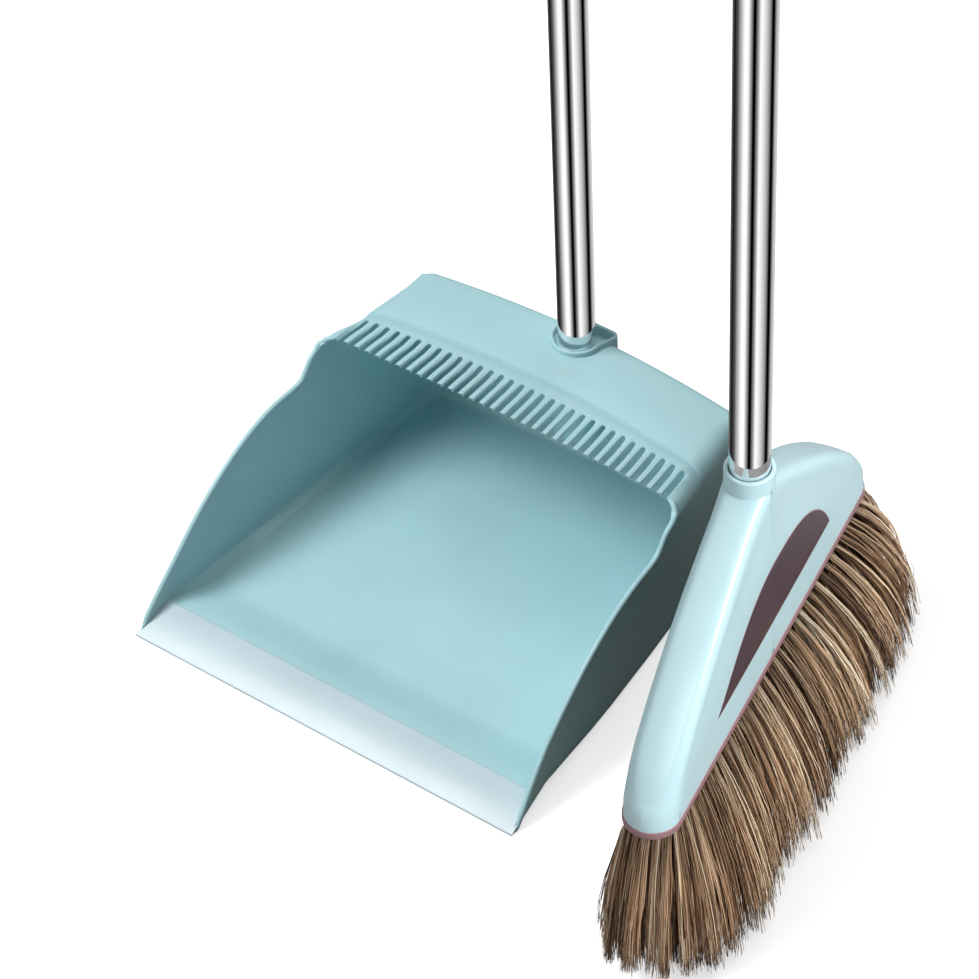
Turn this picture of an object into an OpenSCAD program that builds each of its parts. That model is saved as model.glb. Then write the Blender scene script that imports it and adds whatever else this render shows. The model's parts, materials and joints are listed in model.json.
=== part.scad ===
// Long-handled dust pan with a comb hood, and its upright broom.
// X runs along the pan's width, Y from its mouth to its back, Z up. The origin is
// the middle of the pan's flat underside. "Reach" is a distance from the mouth.

/* [Dust pan] */
// Outside width of the pan at its mouth
pan_w = 266; // [210:1:340]
// Outside width of the pan at its back wall
pan_back_w = 226; // [180:1:300]
// Reach of the back wall's outer face at its corners
pan_depth = 258; // [220:1:320]
// Extra reach of the back wall at its middle
back_bow = 6; // [0:0.5:12]
// Outside radius of the two upright back corners
back_corner_r = 10; // [8:1:30]
// Thickness of the pan's walls and hood
pan_wall = 2.4; // [1.6:0.1:4]
// Thickness of the pan's floor
floor_t = 2.4; // [1.6:0.1:4]
// Height of the side walls where they level out
shelf_h = 82.5; // [55:0.5:95]
// Reach at which the side walls level out
shelf_reach = 135; // [90:1:142]
// Reach at which the side wall's rim starts to rise
rim_reach = 4; // [2:0.5:10]

/* [Hood and comb] */
// Height of the hood at its front edge
hood_front_h = 106; // [98:1:140]
// Height of the hood at the back wall
hood_back_h = 103; // [96:1:138]
// Reach of the hood's front edge
hood_reach = 178; // [170:1:190]
// Radius along the hood's two long top edges
hood_edge_r = 16; // [6:1:24]
// Number of comb teeth
teeth = 31; // [15:2:41]
// Distance from tooth to tooth
tooth_pitch = 7.1; // [5:0.1:7.4]
// Width of the slot between two teeth
slot_w = 3; // [2:0.1:3.8]
// Length of the slots at the comb's ends
slot_l = 23; // [14:1:28]
// Extra length of the slots at the comb's middle
slot_bow = 5; // [0:0.5:8]

/* [Sweeping lip] */
// Reach of the lip's crest
lip_reach = 27; // [18:1:40]
// Height of the lip's crest
lip_h = 9.6; // [6:0.2:14]
// Reach at which the back of the ramp meets the floor
ramp_reach = 56; // [48:1:80]
// Thickness of the soft lip strip
lip_t = 1.6; // [1:0.1:2.5]

/* [Tubes] */
// Outside diameter of both steel tubes
tube_d = 22; // [18:0.5:27]
// Wall of the steel tubes
tube_wall = 0.5; // [0.4:0.1:1.2]
// Length of the pan's tube
pan_tube_l = 665; // [400:5:900]
// Length of the broom's tube
broom_tube_l = 592; // [400:1:900]
// How much smaller than its tube the threaded stud is, on each side
stud_step = 2; // [1:0.1:3]
// Length of the threaded stud
stud_l = 26; // [18:1:30]
// Depth of each tube's end inside its socket
tube_seat = 34; // [20:1:36]
// Height of the plug's flange under the tube's end
flange_h = 3; // [2:0.5:5]
// Length of each plug inside its tube
plug_l = 36; // [20:1:60]

/* [Pan socket] */
// How far the pan tube's axis stands in front of the back wall's middle
socket_set = 10.5; // [9:0.5:30]
// Wall of the socket column round the tube
column_wall = 4.2; // [3.4:0.1:7]
// How far the column's tail runs behind the tube's axis
column_tail = 15; // [13:0.5:22]
// Extra half width of the column at its tail
column_flare = 4.5; // [0:0.5:8]
// Height of the collar above the hood
collar_h = 4; // [2:0.5:8]
// Depth of the collar's recess
recess_depth = 7; // [3:0.5:9]
// Wall of the collar round its recess
collar_wall = 2; // [1.2:0.1:2.8]

/* [Broom head] */
// Place of the broom beside the pan, across
broom_x = 210; // [205:1:300]
// Reach of the broom's tube axis
broom_reach = 112.5; // [60:0.5:200]
// Heading of the head's long axis, from +X
broom_heading = 101; // [80:1:110]
// Length of the head
head_l = 286; // [236:1:345]
// Thickness of the head at its base
head_t = 31; // [30.5:0.5:40]
// Thickness of the head near the socket
head_top_t = 24; // [23:0.5:30]
// Height of the head's shell, from its base to its socket rim
head_h = 133; // [115:1:150]
// Height of the head's ends
end_h = 15; // [8:1:20]
// Wall of the head's shell
head_wall = 3; // [2.4:0.1:3.6]
// Wall of the broom's socket round its tube
head_socket_wall = 2.5; // [1.5:0.1:4]
// Length of the crescent insert
insert_l = 154; // [110:1:180]
// Height of the crescent insert
insert_h = 42; // [26:1:44]
// Height of the insert's straight edge above the head's base
insert_rise = 26; // [18:1:34]
// Thickness of the insert
insert_t = 1.2; // [0.8:0.1:1.4]
// How far the insert lies below the head's face
insert_sink = 0.4; // [0.2:0.1:0.6]

/* [Bristles] */
// Free length of the bristles, from the floor to the tuft plate
bristle_l = 98; // [70:1:120]
// Thickness of the tuft plate's visible edge
plate_t = 5; // [3:0.5:8]
// Depth of the tuft plate's core inside the head
plate_core = 7; // [4:0.5:10]
// Number of rows of tufts
rows = 5;
// Bare rim of the plate beyond each end of the tuft field
field_end = 5; // [2:0.5:20]
// Bare rim of the plate along each side of the tuft field
field_side = 2.5; // [1:0.5:6]
// How far the bristles spread beyond each end of the head
spread_l = 20; // [0:1:40]
// How far the bristles spread beyond each side of the head
spread_w = 37.5; // [10:0.5:40]

/* [Grips] */
// Wall of the grips round their tubes
grip_wall = 2.5; // [1.6:0.1:5]
// Length of the grips
grip_l = 118; // [80:1:150]
// Overlap of each grip and its tube
grip_lap = 96; // [60:1:110]
// Diameter of the eye in each hanging cap
eye_d = 12; // [8:0.5:16]
// Thickness of the eye's tab
eye_t = 8; // [5:0.5:12]
// Width of metal-free plastic round the eye
eye_rim = 5; // [3:0.5:7]
// Length of the cap's spigot inside the grip
spigot_l = 14; // [8:1:20]

/* [Hidden] */
$fn = 64;
aqua = "#AFD9DF";
pale_aqua = "#D4F0F5";
mauve = "#8E6C74";
plum = "#4A3540";
steel = "#C9CCD0";
horsehair = "#7D6650";
// Play of a thread stud in its socket
thread_play = 0.05;
// Gap round a tube's end inside its socket
seat_gap = 0.3;
// Gap between two rows of bristles
row_gap = 0.6;
// Overshoot of a cut past the face it leaves
cut = 1;
stud_d = tube_d - 2 * stud_step;
grip_d = tube_d + 2 * grip_wall;
column_r = tube_d / 2 + seat_gap + column_wall;
head_socket_r = tube_d / 2 + seat_gap + head_socket_wall;
socket_reach = pan_depth + back_bow - socket_set;
base_z = bristle_l + plate_t;
pan_tube_z = hood_back_h + collar_h - recess_depth - tube_seat;
// The socket column hangs from the hood: this is its lower end
column_foot = pan_tube_z - flange_h - stud_l - 5;
head_rim_z = base_z + head_h;
broom_tube_z = head_rim_z - tube_seat;
comb_half = teeth * tooth_pitch / 2;
field_l = head_l - 2 * field_end;
field_w = head_t - 2 * field_side;
foot_l = head_l + 2 * spread_l;
foot_w = head_t + 2 * spread_w;

// Half of the pan's outside width at a reach: nearly straight in front, drawn in behind
function side_x(p) = pan_w / 2 - (pan_w - pan_back_w) / 2 * pow(p / pan_depth, 1.6);
// Height of the side wall's rim in front of the hood
function rim_z(p) = p < shelf_reach
    ? shelf_h * (1 - pow(1 - (p - rim_reach) / (shelf_reach - rim_reach), 1.8)) : shelf_h;
// Reach at which the rim starts its S curve up to the hood
s_start = shelf_reach + (hood_reach - shelf_reach) / 3;
function s_curve_z(p) = shelf_h + (hood_front_h - shelf_h)
    * (1 - cos(180 * (p - s_start) / (hood_reach - s_start))) / 2;

// Right half of the pan's plan outline, drawn in by "inset" from the outside
function right_side(inset) = let (
    turn = pan_depth - back_corner_r,
    xc = side_x(turn) - back_corner_r, r = back_corner_r - inset)
    concat([for (i = [0:12]) [side_x(turn * i / 12) - inset, turn * i / 12]],
           [for (a = [10:10:80]) [xc + r * cos(a), turn + r * sin(a)]],
           [for (i = [10:-1:1]) [xc * i / 10, pan_depth - inset + back_bow * (1 - pow(i / 10, 2))]]);
function mirrored(points) = [for (i = [len(points) - 1:-1:0]) [-points[i][0], points[i][1]]];
module pan_plan(inset, front = 0) {
    half = right_side(inset);
    polygon(concat([[half[0][0], -front]], half, [[0, pan_depth - inset + back_bow]], mirrored(half),
                   [[-half[0][0], -front]]));
}
// Draws a side profile, as reach and height, right across the pan
module across_pan(points) {
    rotate([90, 0, 90]) linear_extrude(height = 2 * pan_w, center = true) polygon(points);
}
// Moves a shape measured from the mouth to the pan's own frame
module from_mouth() { translate([0, -pan_depth / 2, 0]) children(); }

rim_points = [for (i = [0:16]) let (p = rim_reach + (s_start - rim_reach) * i / 16) [p, rim_z(p)]];
s_points = [for (i = [1:12]) let (p = s_start + (hood_reach - s_start) * i / 12) [p, s_curve_z(p)]];
back_reach = pan_depth + back_bow;

module side_outline() {
    across_pan(concat([[rim_reach, 0]], rim_points, s_points,
                      [[back_reach + cut, hood_back_h], [back_reach + cut, 0]]));
}
// The hollow between the walls: open above the tray, closed under the hood
module inner_outline() {
    under_front = hood_front_h - pan_wall;
    across_pan([[-cut, lip_t], [0, lip_t], [lip_reach, lip_h], [ramp_reach, floor_t],
                [back_reach, floor_t], [back_reach, hood_back_h - pan_wall],
                [hood_reach, under_front], [hood_reach, 2 * hood_front_h], [-cut, 2 * hood_front_h]]);
}
// The strip's own section: a thin wedge lying on the front of the ramp
lip_section = [[0, 0], [lip_t * 2, 0], [lip_reach, lip_h - lip_t], [lip_reach, lip_h], [0, lip_t]];
// The space under the ramp, which keeps it a wall thick
module under_ramp() {
    across_pan([[9, -cut], [9, 0.6], [lip_reach, lip_h - lip_t - pan_wall],
                [ramp_reach - 9, 0.4], [ramp_reach - 9, -cut]]);
}

// Outline of the socket column seen from above, round the tube's axis
module column_plan(inset = 0) {
    r = column_r - inset;
    corner = 4 - inset / 2;
    x = r + column_flare - corner;
    y = column_tail - inset - corner;
    polygon(concat([for (a = [180:10:360]) [r * cos(a), r * sin(a)]],
                   [for (a = [0:15:90]) [x + corner * cos(a), y + corner * sin(a)]],
                   [for (a = [90:15:180]) [-x + corner * cos(a), y + corner * sin(a)]]));
}
module at_pan_socket() { translate([0, socket_reach, 0]) children(); }

// Waste that leaves one of the hood's long edges round, along a run of length l
module edge_waste(inset, l) {
    rotate([90, 0, 0]) linear_extrude(height = l) difference() {
        square(hood_edge_r + 4 * cut);
        circle(r = hood_edge_r - inset);
    }
}
// Rounds the hood's right-hand top edge, which draws in towards the back
module hood_edge_cut(inset) {
    run = pan_depth - hood_reach;
    yaw = atan((side_x(hood_reach) - side_x(pan_depth - back_corner_r)) / (run - back_corner_r));
    drop = atan((hood_front_h - hood_back_h) / (back_reach - hood_reach));
    r = hood_edge_r;
    translate([side_x(hood_reach) - r, hood_reach, hood_front_h - r])
        rotate([-drop, 0, yaw]) translate([0, run + r, 0]) edge_waste(inset, run + r);
}
module hood_edges(inset) {
    hood_edge_cut(inset);
    mirror([1, 0, 0]) hood_edge_cut(inset);
}

// One slot of the comb, with a round root
module comb_slot(x) {
    l = slot_l + slot_bow * (1 - pow(x / comb_half, 2));
    z = hood_front_h - hood_edge_r;
    translate([x - slot_w / 2, hood_reach - cut, z]) cube([slot_w, l - slot_w / 2 + cut, 2 * hood_edge_r]);
    translate([x, hood_reach + l - slot_w / 2, z]) cylinder(d = slot_w, h = 2 * hood_edge_r, $fn = 24);
}

module pan_shell() {
    color(aqua) from_mouth() difference() {
        union() {
            difference() {
                intersection() {
                    linear_extrude(height = 2 * hood_front_h) pan_plan(0);
                    side_outline();
                }
                difference() {
                    intersection() {
                        translate([0, 0, -cut]) linear_extrude(height = 3 * hood_front_h) pan_plan(pan_wall, cut);
                        inner_outline();
                    }
                    hood_edges(pan_wall);
                }
                intersection() {
                    translate([0, 0, -2 * cut]) linear_extrude(height = hood_front_h) pan_plan(pan_wall);
                    under_ramp();
                }
                hood_edges(0);
                for (i = [0:teeth]) comb_slot(tooth_pitch * (i - teeth / 2));
            }
            at_pan_socket() translate([0, 0, column_foot])
                linear_extrude(height = hood_back_h + collar_h - column_foot) column_plan();
        }
        intersection() {
            across_pan(lip_section);
            translate([0, 0, -cut]) linear_extrude(height = lip_h + 2 * cut) pan_plan(pan_wall, cut);
        }
        at_pan_socket() {
            translate([0, 0, hood_back_h + collar_h - recess_depth])
                linear_extrude(height = recess_depth + cut) column_plan(collar_wall);
            translate([0, 0, pan_tube_z - flange_h - seat_gap]) cylinder(d = tube_d + 2 * seat_gap, h = hood_back_h);
            translate([0, 0, pan_tube_z - flange_h - stud_l - 2])
                cylinder(d = stud_d + 2 * thread_play, h = stud_l + flange_h + 2);
        }
    }
}

module pan_lip() {
    color(pale_aqua) from_mouth() intersection() {
        across_pan(lip_section);
        translate([0, 0, -cut]) linear_extrude(height = lip_h + 2 * cut) pan_plan(pan_wall);
    }
}

// The parts of a handle stand on the z of the tube's lower end
module tube(l) {
    color(steel) difference() {
        cylinder(d = tube_d, h = l);
        translate([0, 0, -cut]) cylinder(d = tube_d - 2 * tube_wall, h = l + 2 * cut);
    }
}
// Plug in the tube's lower end, with the flange it stands on and the stud that screws in
module thread_plug() {
    color(mauve) union() {
        cylinder(d = tube_d - 2 * tube_wall, h = plug_l);
        translate([0, 0, -flange_h]) cylinder(d = tube_d, h = flange_h);
        translate([0, 0, -flange_h - stud_l]) cylinder(d = stud_d, h = stud_l);
    }
}
// Bung that stiffens the tube's upper end inside the grip
module tube_bung(l) {
    color(mauve) translate([0, 0, l - plug_l]) cylinder(d = tube_d - 2 * tube_wall, h = plug_l);
}
module grip(l) {
    top = grip_l - grip_lap;
    color(aqua) translate([0, 0, l - grip_lap]) difference() {
        rotate_extrude() polygon(concat([[0, 0], [grip_d / 2 - 1.5, 0]],
            [for (a = [-75:15:0]) [grip_d / 2 - 1.5 + 1.5 * cos(a), 1.5 + 1.5 * sin(a)]],
            [[grip_d / 2, grip_l - 3]],
            [for (a = [15:15:90]) [grip_d / 2 - 3 + 3 * cos(a), grip_l - 3 + 3 * sin(a)]], [[0, grip_l]]));
        translate([0, 0, -cut]) cylinder(d = tube_d, h = grip_lap + cut);
        translate([0, 0, grip_lap - cut]) cylinder(r = tube_d / 2 - 2, h = top + 2 * cut);
    }
}
// Cap with the hanging eye, pressed into the top of the grip
module hanging_cap(l) {
    ring_r = eye_d / 2 + eye_rim;
    rise = grip_l - grip_lap;
    color(mauve) translate([0, 0, l + rise]) difference() {
        union() {
            translate([0, 0, -spigot_l]) cylinder(r = tube_d / 2 - 2, h = spigot_l);
            cylinder(r = grip_d / 2 - 3, h = 3);
            translate([0, 0, 3 + ring_r]) rotate([90, 0, 0]) cylinder(r = ring_r, h = eye_t, center = true);
            translate([-ring_r * 0.8, -eye_t / 2, 2]) cube([ring_r * 1.6, eye_t, ring_r]);
        }
        translate([0, 0, 3 + ring_r]) rotate([90, 0, 0]) cylinder(d = eye_d, h = eye_t + 2 * cut, center = true);
    }
}
module pan_handle() { from_mouth() at_pan_socket() translate([0, 0, pan_tube_z]) children(); }
module pan_tube() { pan_handle() tube(pan_tube_l); }
module pan_thread_plug() { pan_handle() thread_plug(); }
module pan_tube_bung() { pan_handle() tube_bung(pan_tube_l); }
module pan_grip() { pan_handle() grip(pan_tube_l); }
module pan_hanging_cap() { pan_handle() hanging_cap(pan_tube_l); }

// The broom's own frame: X along the head, Y away from the crescent's front, Z up
module broom() { from_mouth() translate([broom_x, broom_reach, 0]) rotate([0, 0, broom_heading]) children(); }

// Right half of the head's front outline above its base, drawn in by "inset":
// a shoulder swept from the socket to the end, then a small round corner
function shoulder(t, inset) = let (
    a = [head_socket_r - 1, head_h - 7], b = [head_l * 0.19, head_h * 0.84],
    c = [head_l * 0.385, head_h * 0.48], d = [head_l / 2 - 5, end_h])
    pow(1 - t, 3) * (a - [0, inset]) + 3 * pow(1 - t, 2) * t * (b - [inset / 2, inset])
    + 3 * (1 - t) * t * t * (c - [inset, inset]) + t * t * t * (d - [inset, inset]);
function head_half(inset) = concat(
    [[head_l / 2 - inset, 0], [head_l / 2 - inset, end_h - 6]],
    [for (i = [14:-1:0]) shoulder(i / 14, inset)]);
module head_front(inset) {
    half = head_half(inset);
    polygon(concat(half, mirrored(half)));
}
// Half thickness of the head at a height above its base
function head_y(z) = head_t / 2 - (head_t - head_top_t) / 2 * z / head_h;
module head_section(inset) {
    polygon([[-head_y(0) + inset, -cut], [head_y(0) - inset, -cut],
             [head_y(head_h) - inset, head_h], [-head_y(head_h) + inset, head_h]]);
}
// Long shape with round ends, seen from above
module stadium(l, w) {
    r = w / 2;
    polygon(concat([for (a = [-90:10:90]) [l / 2 - r + r * cos(a), r * sin(a)]],
                   [for (a = [90:10:270]) [-l / 2 + r + r * cos(a), r * sin(a)]]));
}
module head_solid(inset) {
    intersection() {
        rotate([90, 0, 0]) linear_extrude(height = 2 * head_t, center = true) head_front(inset);
        rotate([90, 0, 90]) linear_extrude(height = 2 * head_l, center = true) head_section(inset);
        translate([0, 0, -cut]) linear_extrude(height = 2 * head_h) stadium(head_l - 2 * inset, head_t - 2 * inset);
    }
}
// Slope of the head's two faces
face_lean = atan((head_t - head_top_t) / 2 / head_h);
// The crescent, as a slab "t" thick that lies "sink" under the front face
module crescent(t, sink, grow = 0) {
    l = insert_l / 2 + grow;
    translate([0, -head_t / 2, 0]) rotate([-face_lean, 0, 0]) translate([0, sink + t, insert_rise - grow])
        rotate([90, 0, 0]) linear_extrude(height = t)
            polygon([for (i = [0:40]) let (s = -1 + i / 20) [l * s, (insert_h + 2 * grow) * pow(1 - s * s, 1.15)]]);
}
module broom_head() {
    column = head_socket_r;
    color(pale_aqua) broom() translate([0, 0, base_z]) difference() {
        union() {
            difference() {
                head_solid(0);
                translate([0, 0, -cut / 2]) head_solid(head_wall);
            }
            intersection() {
                translate([0, 0, plate_core]) cylinder(r = column, h = head_h - plate_core - 8);
                head_solid(0);
            }
            translate([0, 0, head_h - 30]) cylinder(r = column, h = 30);
        }
        translate([0, 0, head_h - tube_seat - flange_h - seat_gap])
            cylinder(d = tube_d + 2 * seat_gap, h = tube_seat + flange_h + 2 * cut);
        translate([0, 0, head_h - tube_seat - flange_h - stud_l - 2])
            cylinder(d = stud_d + 2 * thread_play, h = stud_l + flange_h + 2);
        crescent(insert_t + insert_sink + cut, -cut);
        rotate([0, 0, 180]) crescent(insert_t + insert_sink + cut, -cut);
    }
}
module insert(turn) {
    color(plum) broom() translate([0, 0, base_z]) rotate([0, 0, turn]) crescent(insert_t, insert_sink);
}
module insert_front() { insert(0); }
module insert_back() { insert(180); }

// Plate that carries the tufts: its edge shows, and its core fits inside the head
module tuft_plate() {
    color(mauve) broom() union() {
        translate([0, 0, bristle_l]) linear_extrude(height = plate_t) stadium(head_l, head_t);
        translate([0, 0, base_z]) linear_extrude(height = plate_core)
            stadium(head_l - 2 * head_wall - 1, head_top_t - 2 * head_wall);
    }
}

// One row of tufts: a slab that spreads from the plate to the floor
module bristle_row(i) {
    s = [2 * i / rows - 1, 2 * (i + 1) / rows - 1];
    top = 0.5;
    mid = abs(s[0] + s[1]) / 2;
    end_drop = 1 - sqrt(1 - pow(mid, 2));
    top_l = field_l - field_w * end_drop;
    foot = foot_l - foot_w * 0.9 * end_drop;
    color(horsehair) broom() hull() {
        translate([-top_l / 2, s[0] * field_w / 2 + row_gap / 2, bristle_l - top])
            cube([top_l, (s[1] - s[0]) * field_w / 2 - row_gap, top]);
        translate([-foot / 2, s[0] * foot_w / 2 + row_gap / 2, 0])
            cube([foot, (s[1] - s[0]) * foot_w / 2 - row_gap, top]);
    }
}
module bristle_row_1() { bristle_row(0); }
module bristle_row_2() { bristle_row(1); }
module bristle_row_3() { bristle_row(2); }
module bristle_row_4() { bristle_row(3); }
module bristle_row_5() { bristle_row(4); }

module broom_handle() { broom() translate([0, 0, broom_tube_z]) children(); }
module broom_tube() { broom_handle() tube(broom_tube_l); }
module broom_thread_plug() { broom_handle() thread_plug(); }
module broom_tube_bung() { broom_handle() tube_bung(broom_tube_l); }
module broom_grip() { broom_handle() grip(broom_tube_l); }
module broom_hanging_cap() { broom_handle() rotate([0, 0, -broom_heading]) hanging_cap(broom_tube_l); }

pan_shell();
pan_lip();
pan_thread_plug();
pan_tube();
pan_tube_bung();
pan_grip();
pan_hanging_cap();
broom_head();
insert_front();
insert_back();
tuft_plate();
bristle_row_1();
bristle_row_2();
bristle_row_3();
bristle_row_4();
bristle_row_5();
broom_thread_plug();
broom_tube();
broom_tube_bung();
broom_grip();
broom_hanging_cap();
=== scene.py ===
"""Looks of a long-handled dust pan and its upright broom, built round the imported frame.

Lengths are in millimetres while a shape is worked out and become metres when its mesh is
placed. "Reach" is a distance from the pan's mouth, and "heading" is the broom head's long
axis. Each sub-assembly is a class, and main() builds them in order.
"""

import json
import logging
import math
from dataclasses import dataclass, field
from enum import Enum
from typing import Callable, Iterable, Sequence

import bmesh
import bpy
import numpy as np
from mathutils import Matrix, Vector

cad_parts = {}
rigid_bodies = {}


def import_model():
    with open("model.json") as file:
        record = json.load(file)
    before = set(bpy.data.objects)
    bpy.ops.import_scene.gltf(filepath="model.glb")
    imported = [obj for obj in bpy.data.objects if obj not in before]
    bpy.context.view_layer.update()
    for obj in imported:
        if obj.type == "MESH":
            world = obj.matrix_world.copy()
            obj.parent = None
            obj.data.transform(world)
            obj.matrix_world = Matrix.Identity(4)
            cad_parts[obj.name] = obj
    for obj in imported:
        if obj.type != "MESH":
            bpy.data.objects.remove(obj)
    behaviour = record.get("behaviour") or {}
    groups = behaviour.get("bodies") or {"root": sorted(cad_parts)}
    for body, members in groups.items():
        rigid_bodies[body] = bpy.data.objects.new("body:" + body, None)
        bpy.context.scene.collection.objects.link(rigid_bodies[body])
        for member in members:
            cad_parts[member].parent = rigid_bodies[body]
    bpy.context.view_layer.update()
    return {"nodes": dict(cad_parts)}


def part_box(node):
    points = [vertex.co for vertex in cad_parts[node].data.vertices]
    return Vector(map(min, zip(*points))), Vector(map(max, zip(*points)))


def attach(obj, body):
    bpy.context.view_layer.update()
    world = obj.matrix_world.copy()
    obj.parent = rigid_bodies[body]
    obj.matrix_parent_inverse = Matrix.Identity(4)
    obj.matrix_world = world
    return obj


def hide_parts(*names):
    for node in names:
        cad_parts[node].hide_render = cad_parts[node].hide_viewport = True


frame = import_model()

logging.basicConfig(level=logging.INFO, format="%(message)s")
log = logging.getLogger("dust_pan_set")

MM = 0.001
Colour = tuple[float, float, float]
Point2 = tuple[float, float]


class Body(Enum):
    """The frame's bodies that pieces ride on."""

    PAN = "pan"
    PAN_HANDLE = "pan_handle"
    BROOM = "broom"
    BROOM_HANDLE = "broom_handle"


# ---------------------------------------------------------------- small maths


def lerp(a: float, b: float, t: float) -> float:
    """Value a share t of the way from a to b."""
    return a + (b - a) * t


def smooth(low: float, high: float, x: float) -> float:
    """Soft step from 0 at low to 1 at high."""
    t = min(1.0, max(0.0, (x - low) / (high - low)))
    return t * t * (3 - 2 * t)


def linear(red: int, green: int, blue: int) -> Colour:
    """Linear colour of an 8-bit display colour.

    Args:
        red, green, blue: The display colour's channels, from 0 to 255.

    Returns:
        The linear channels, from 0 to 1.
    """
    def channel(value: int) -> float:
        """One channel by the display standard's curve."""
        c = value / 255
        return c / 12.92 if c <= 0.04045 else ((c + 0.055) / 1.055) ** 2.4
    return channel(red), channel(green), channel(blue)


def arc(cx: float, cy: float, r: float, start: float, end: float, steps: int) -> list[Point2]:
    """Points on an arc, both ends included.

    Args:
        cx, cy: The arc's centre.
        r: Its radius.
        start, end: Its first and last angle, in degrees.
        steps: How many segments it has.

    Returns:
        The points in order.
    """
    angles = [math.radians(lerp(start, end, i / steps)) for i in range(steps + 1)]
    return [(cx + r * math.cos(a), cy + r * math.sin(a)) for a in angles]


def resample(points: Sequence[Vector], count: int) -> list[Vector]:
    """Spreads count + 1 points evenly along a line of points.

    Args:
        points: The line to follow.
        count: Number of equal steps.

    Returns:
        The evenly spaced points, with the line's own ends.
    """
    runs = [0.0]
    for a, b in zip(points, points[1:]):
        runs.append(runs[-1] + (b - a).length)
    spread, k = [], 0
    for i in range(count + 1):
        want = runs[-1] * i / count
        while k < len(runs) - 2 and runs[k + 1] < want:
            k += 1
        share = (want - runs[k]) / max(runs[k + 1] - runs[k], 1e-9)
        spread.append(points[k].lerp(points[k + 1], share))
    return spread


# ---------------------------------------------------------------- mesh helpers


def patch(bm: bmesh.types.BMesh, columns: int, rows: int, place: Callable[[int, int], Vector]) -> list:
    """Adds a grid and moves each of its corners to its place.

    Args:
        bm: The mesh to add to.
        columns, rows: Number of faces along each way.
        place: Gives the place of corner (column, row), in millimetres.

    Returns:
        The new vertices, each with its (column, row).
    """
    made = []
    for vert in bmesh.ops.create_grid(bm, x_segments=columns, y_segments=rows, size=1)["verts"]:
        i, j = round((vert.co.x + 1) / 2 * columns), round((vert.co.y + 1) / 2 * rows)
        vert.co = place(i, j)
        made.append((vert, i, j))
    return made


def closed_up(bm: bmesh.types.BMesh, distance: float = 1e-3) -> None:
    """Merges corners that meet and turns every face outwards.

    Args:
        bm: The mesh, which should have no open edge.
        distance: Corners nearer than this are merged.
    """
    bmesh.ops.remove_doubles(bm, verts=bm.verts, dist=distance)
    bmesh.ops.dissolve_degenerate(bm, edges=bm.edges, dist=distance / 10)
    bmesh.ops.recalc_face_normals(bm, faces=bm.faces)
    if bm.calc_volume(signed=True) < 0:
        bmesh.ops.reverse_faces(bm, faces=bm.faces)


def turned(profile: Sequence[Point2], steps: int = 64) -> bmesh.types.BMesh:
    """Turns a profile about the Z axis.

    Args:
        profile: Points as radius and height. A closed ring repeats its first point.
        steps: Segments round the axis.

    Returns:
        The turned mesh.
    """
    bm = bmesh.new()
    line = [bm.verts.new((r, 0, z)) for r, z in profile]
    edges = [bm.edges.new(pair) for pair in zip(line, line[1:])]
    bmesh.ops.spin(bm, geom=line + edges, axis=(0, 0, 1), cent=(0, 0, 0), dvec=(0, 0, 0),
                   angle=math.tau, steps=steps, use_merge=True)
    closed_up(bm)
    return bm


def extruded(outline: Sequence[Vector], along: Vector) -> bmesh.types.BMesh:
    """Closed prism of a flat outline moved along a vector.

    Args:
        outline: The corners of its first face, in order.
        along: The move to its last face.

    Returns:
        The prism's mesh.
    """
    bm = bmesh.new()
    base = bm.faces.new([bm.verts.new(p) for p in outline])
    grown = bmesh.ops.extrude_face_region(bm, geom=[base], use_keep_orig=True)
    verts = [g for g in grown["geom"] if isinstance(g, bmesh.types.BMVert)]
    bmesh.ops.translate(bm, verts=verts, vec=along)
    bmesh.ops.recalc_face_normals(bm, faces=bm.faces)
    return bm


def soften(bm: bmesh.types.BMesh, radius: float, segments: int = 3, angle: float = 35,
           keep: Callable[[bmesh.types.BMEdge], bool] = lambda edge: True) -> None:
    """Bevels the mesh's sharp edges.

    Args:
        bm: The mesh.
        radius: Width of the bevel.
        segments: Steps round it.
        angle: Edges that turn more than this many degrees are bevelled.
        keep: Says which of those edges take part.
    """
    limit = math.radians(angle)
    sharp = [e for e in bm.edges if e.is_manifold and e.calc_face_angle(0) > limit and keep(e)]
    bmesh.ops.bevel(bm, geom=sharp, offset=radius, offset_type="OFFSET", segments=segments,
                    profile=0.5, affect="EDGES", material=-1, clamp_overlap=True)


def swept(name: str, path: Sequence[Vector], radius: float,
          widths: Sequence[float] = ()) -> bmesh.types.BMesh:
    """Round bead along a path.

    Args:
        name: Name of the scratch curve.
        path: The bead's centre line, in millimetres.
        radius: Its radius.
        widths: A factor on the radius for each point, or nothing for an even bead.

    Returns:
        The bead's mesh, closed at both ends.
    """
    data = bpy.data.curves.new(name, "CURVE")
    data.dimensions, data.use_fill_caps = "3D", True
    data.bevel_depth, data.bevel_resolution = radius, 3
    spline = data.splines.new("POLY")
    spline.points.add(len(path) - 1)
    for i, (point, at) in enumerate(zip(spline.points, path)):
        point.co = (*at, 1)
        point.radius = widths[i] if widths else 1
    scratch = bpy.data.objects.new(name, data)
    bpy.context.scene.collection.objects.link(scratch)
    evaluated = scratch.evaluated_get(bpy.context.evaluated_depsgraph_get())
    mesh = bpy.data.meshes.new_from_object(evaluated)
    bpy.data.objects.remove(scratch)
    bm = bmesh.new()
    bm.from_mesh(mesh)
    bpy.data.meshes.remove(mesh)
    closed_up(bm)
    return bm


def absorb(bm: bmesh.types.BMesh, *others: bmesh.types.BMesh) -> None:
    """Adds other meshes to this one and frees them.

    Args:
        bm: The mesh that grows.
        others: The meshes that are added.
    """
    for other in others:
        mesh = bpy.data.meshes.new("scratch")
        other.to_mesh(mesh)
        other.free()
        bm.from_mesh(mesh)
        bpy.data.meshes.remove(mesh)


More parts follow.
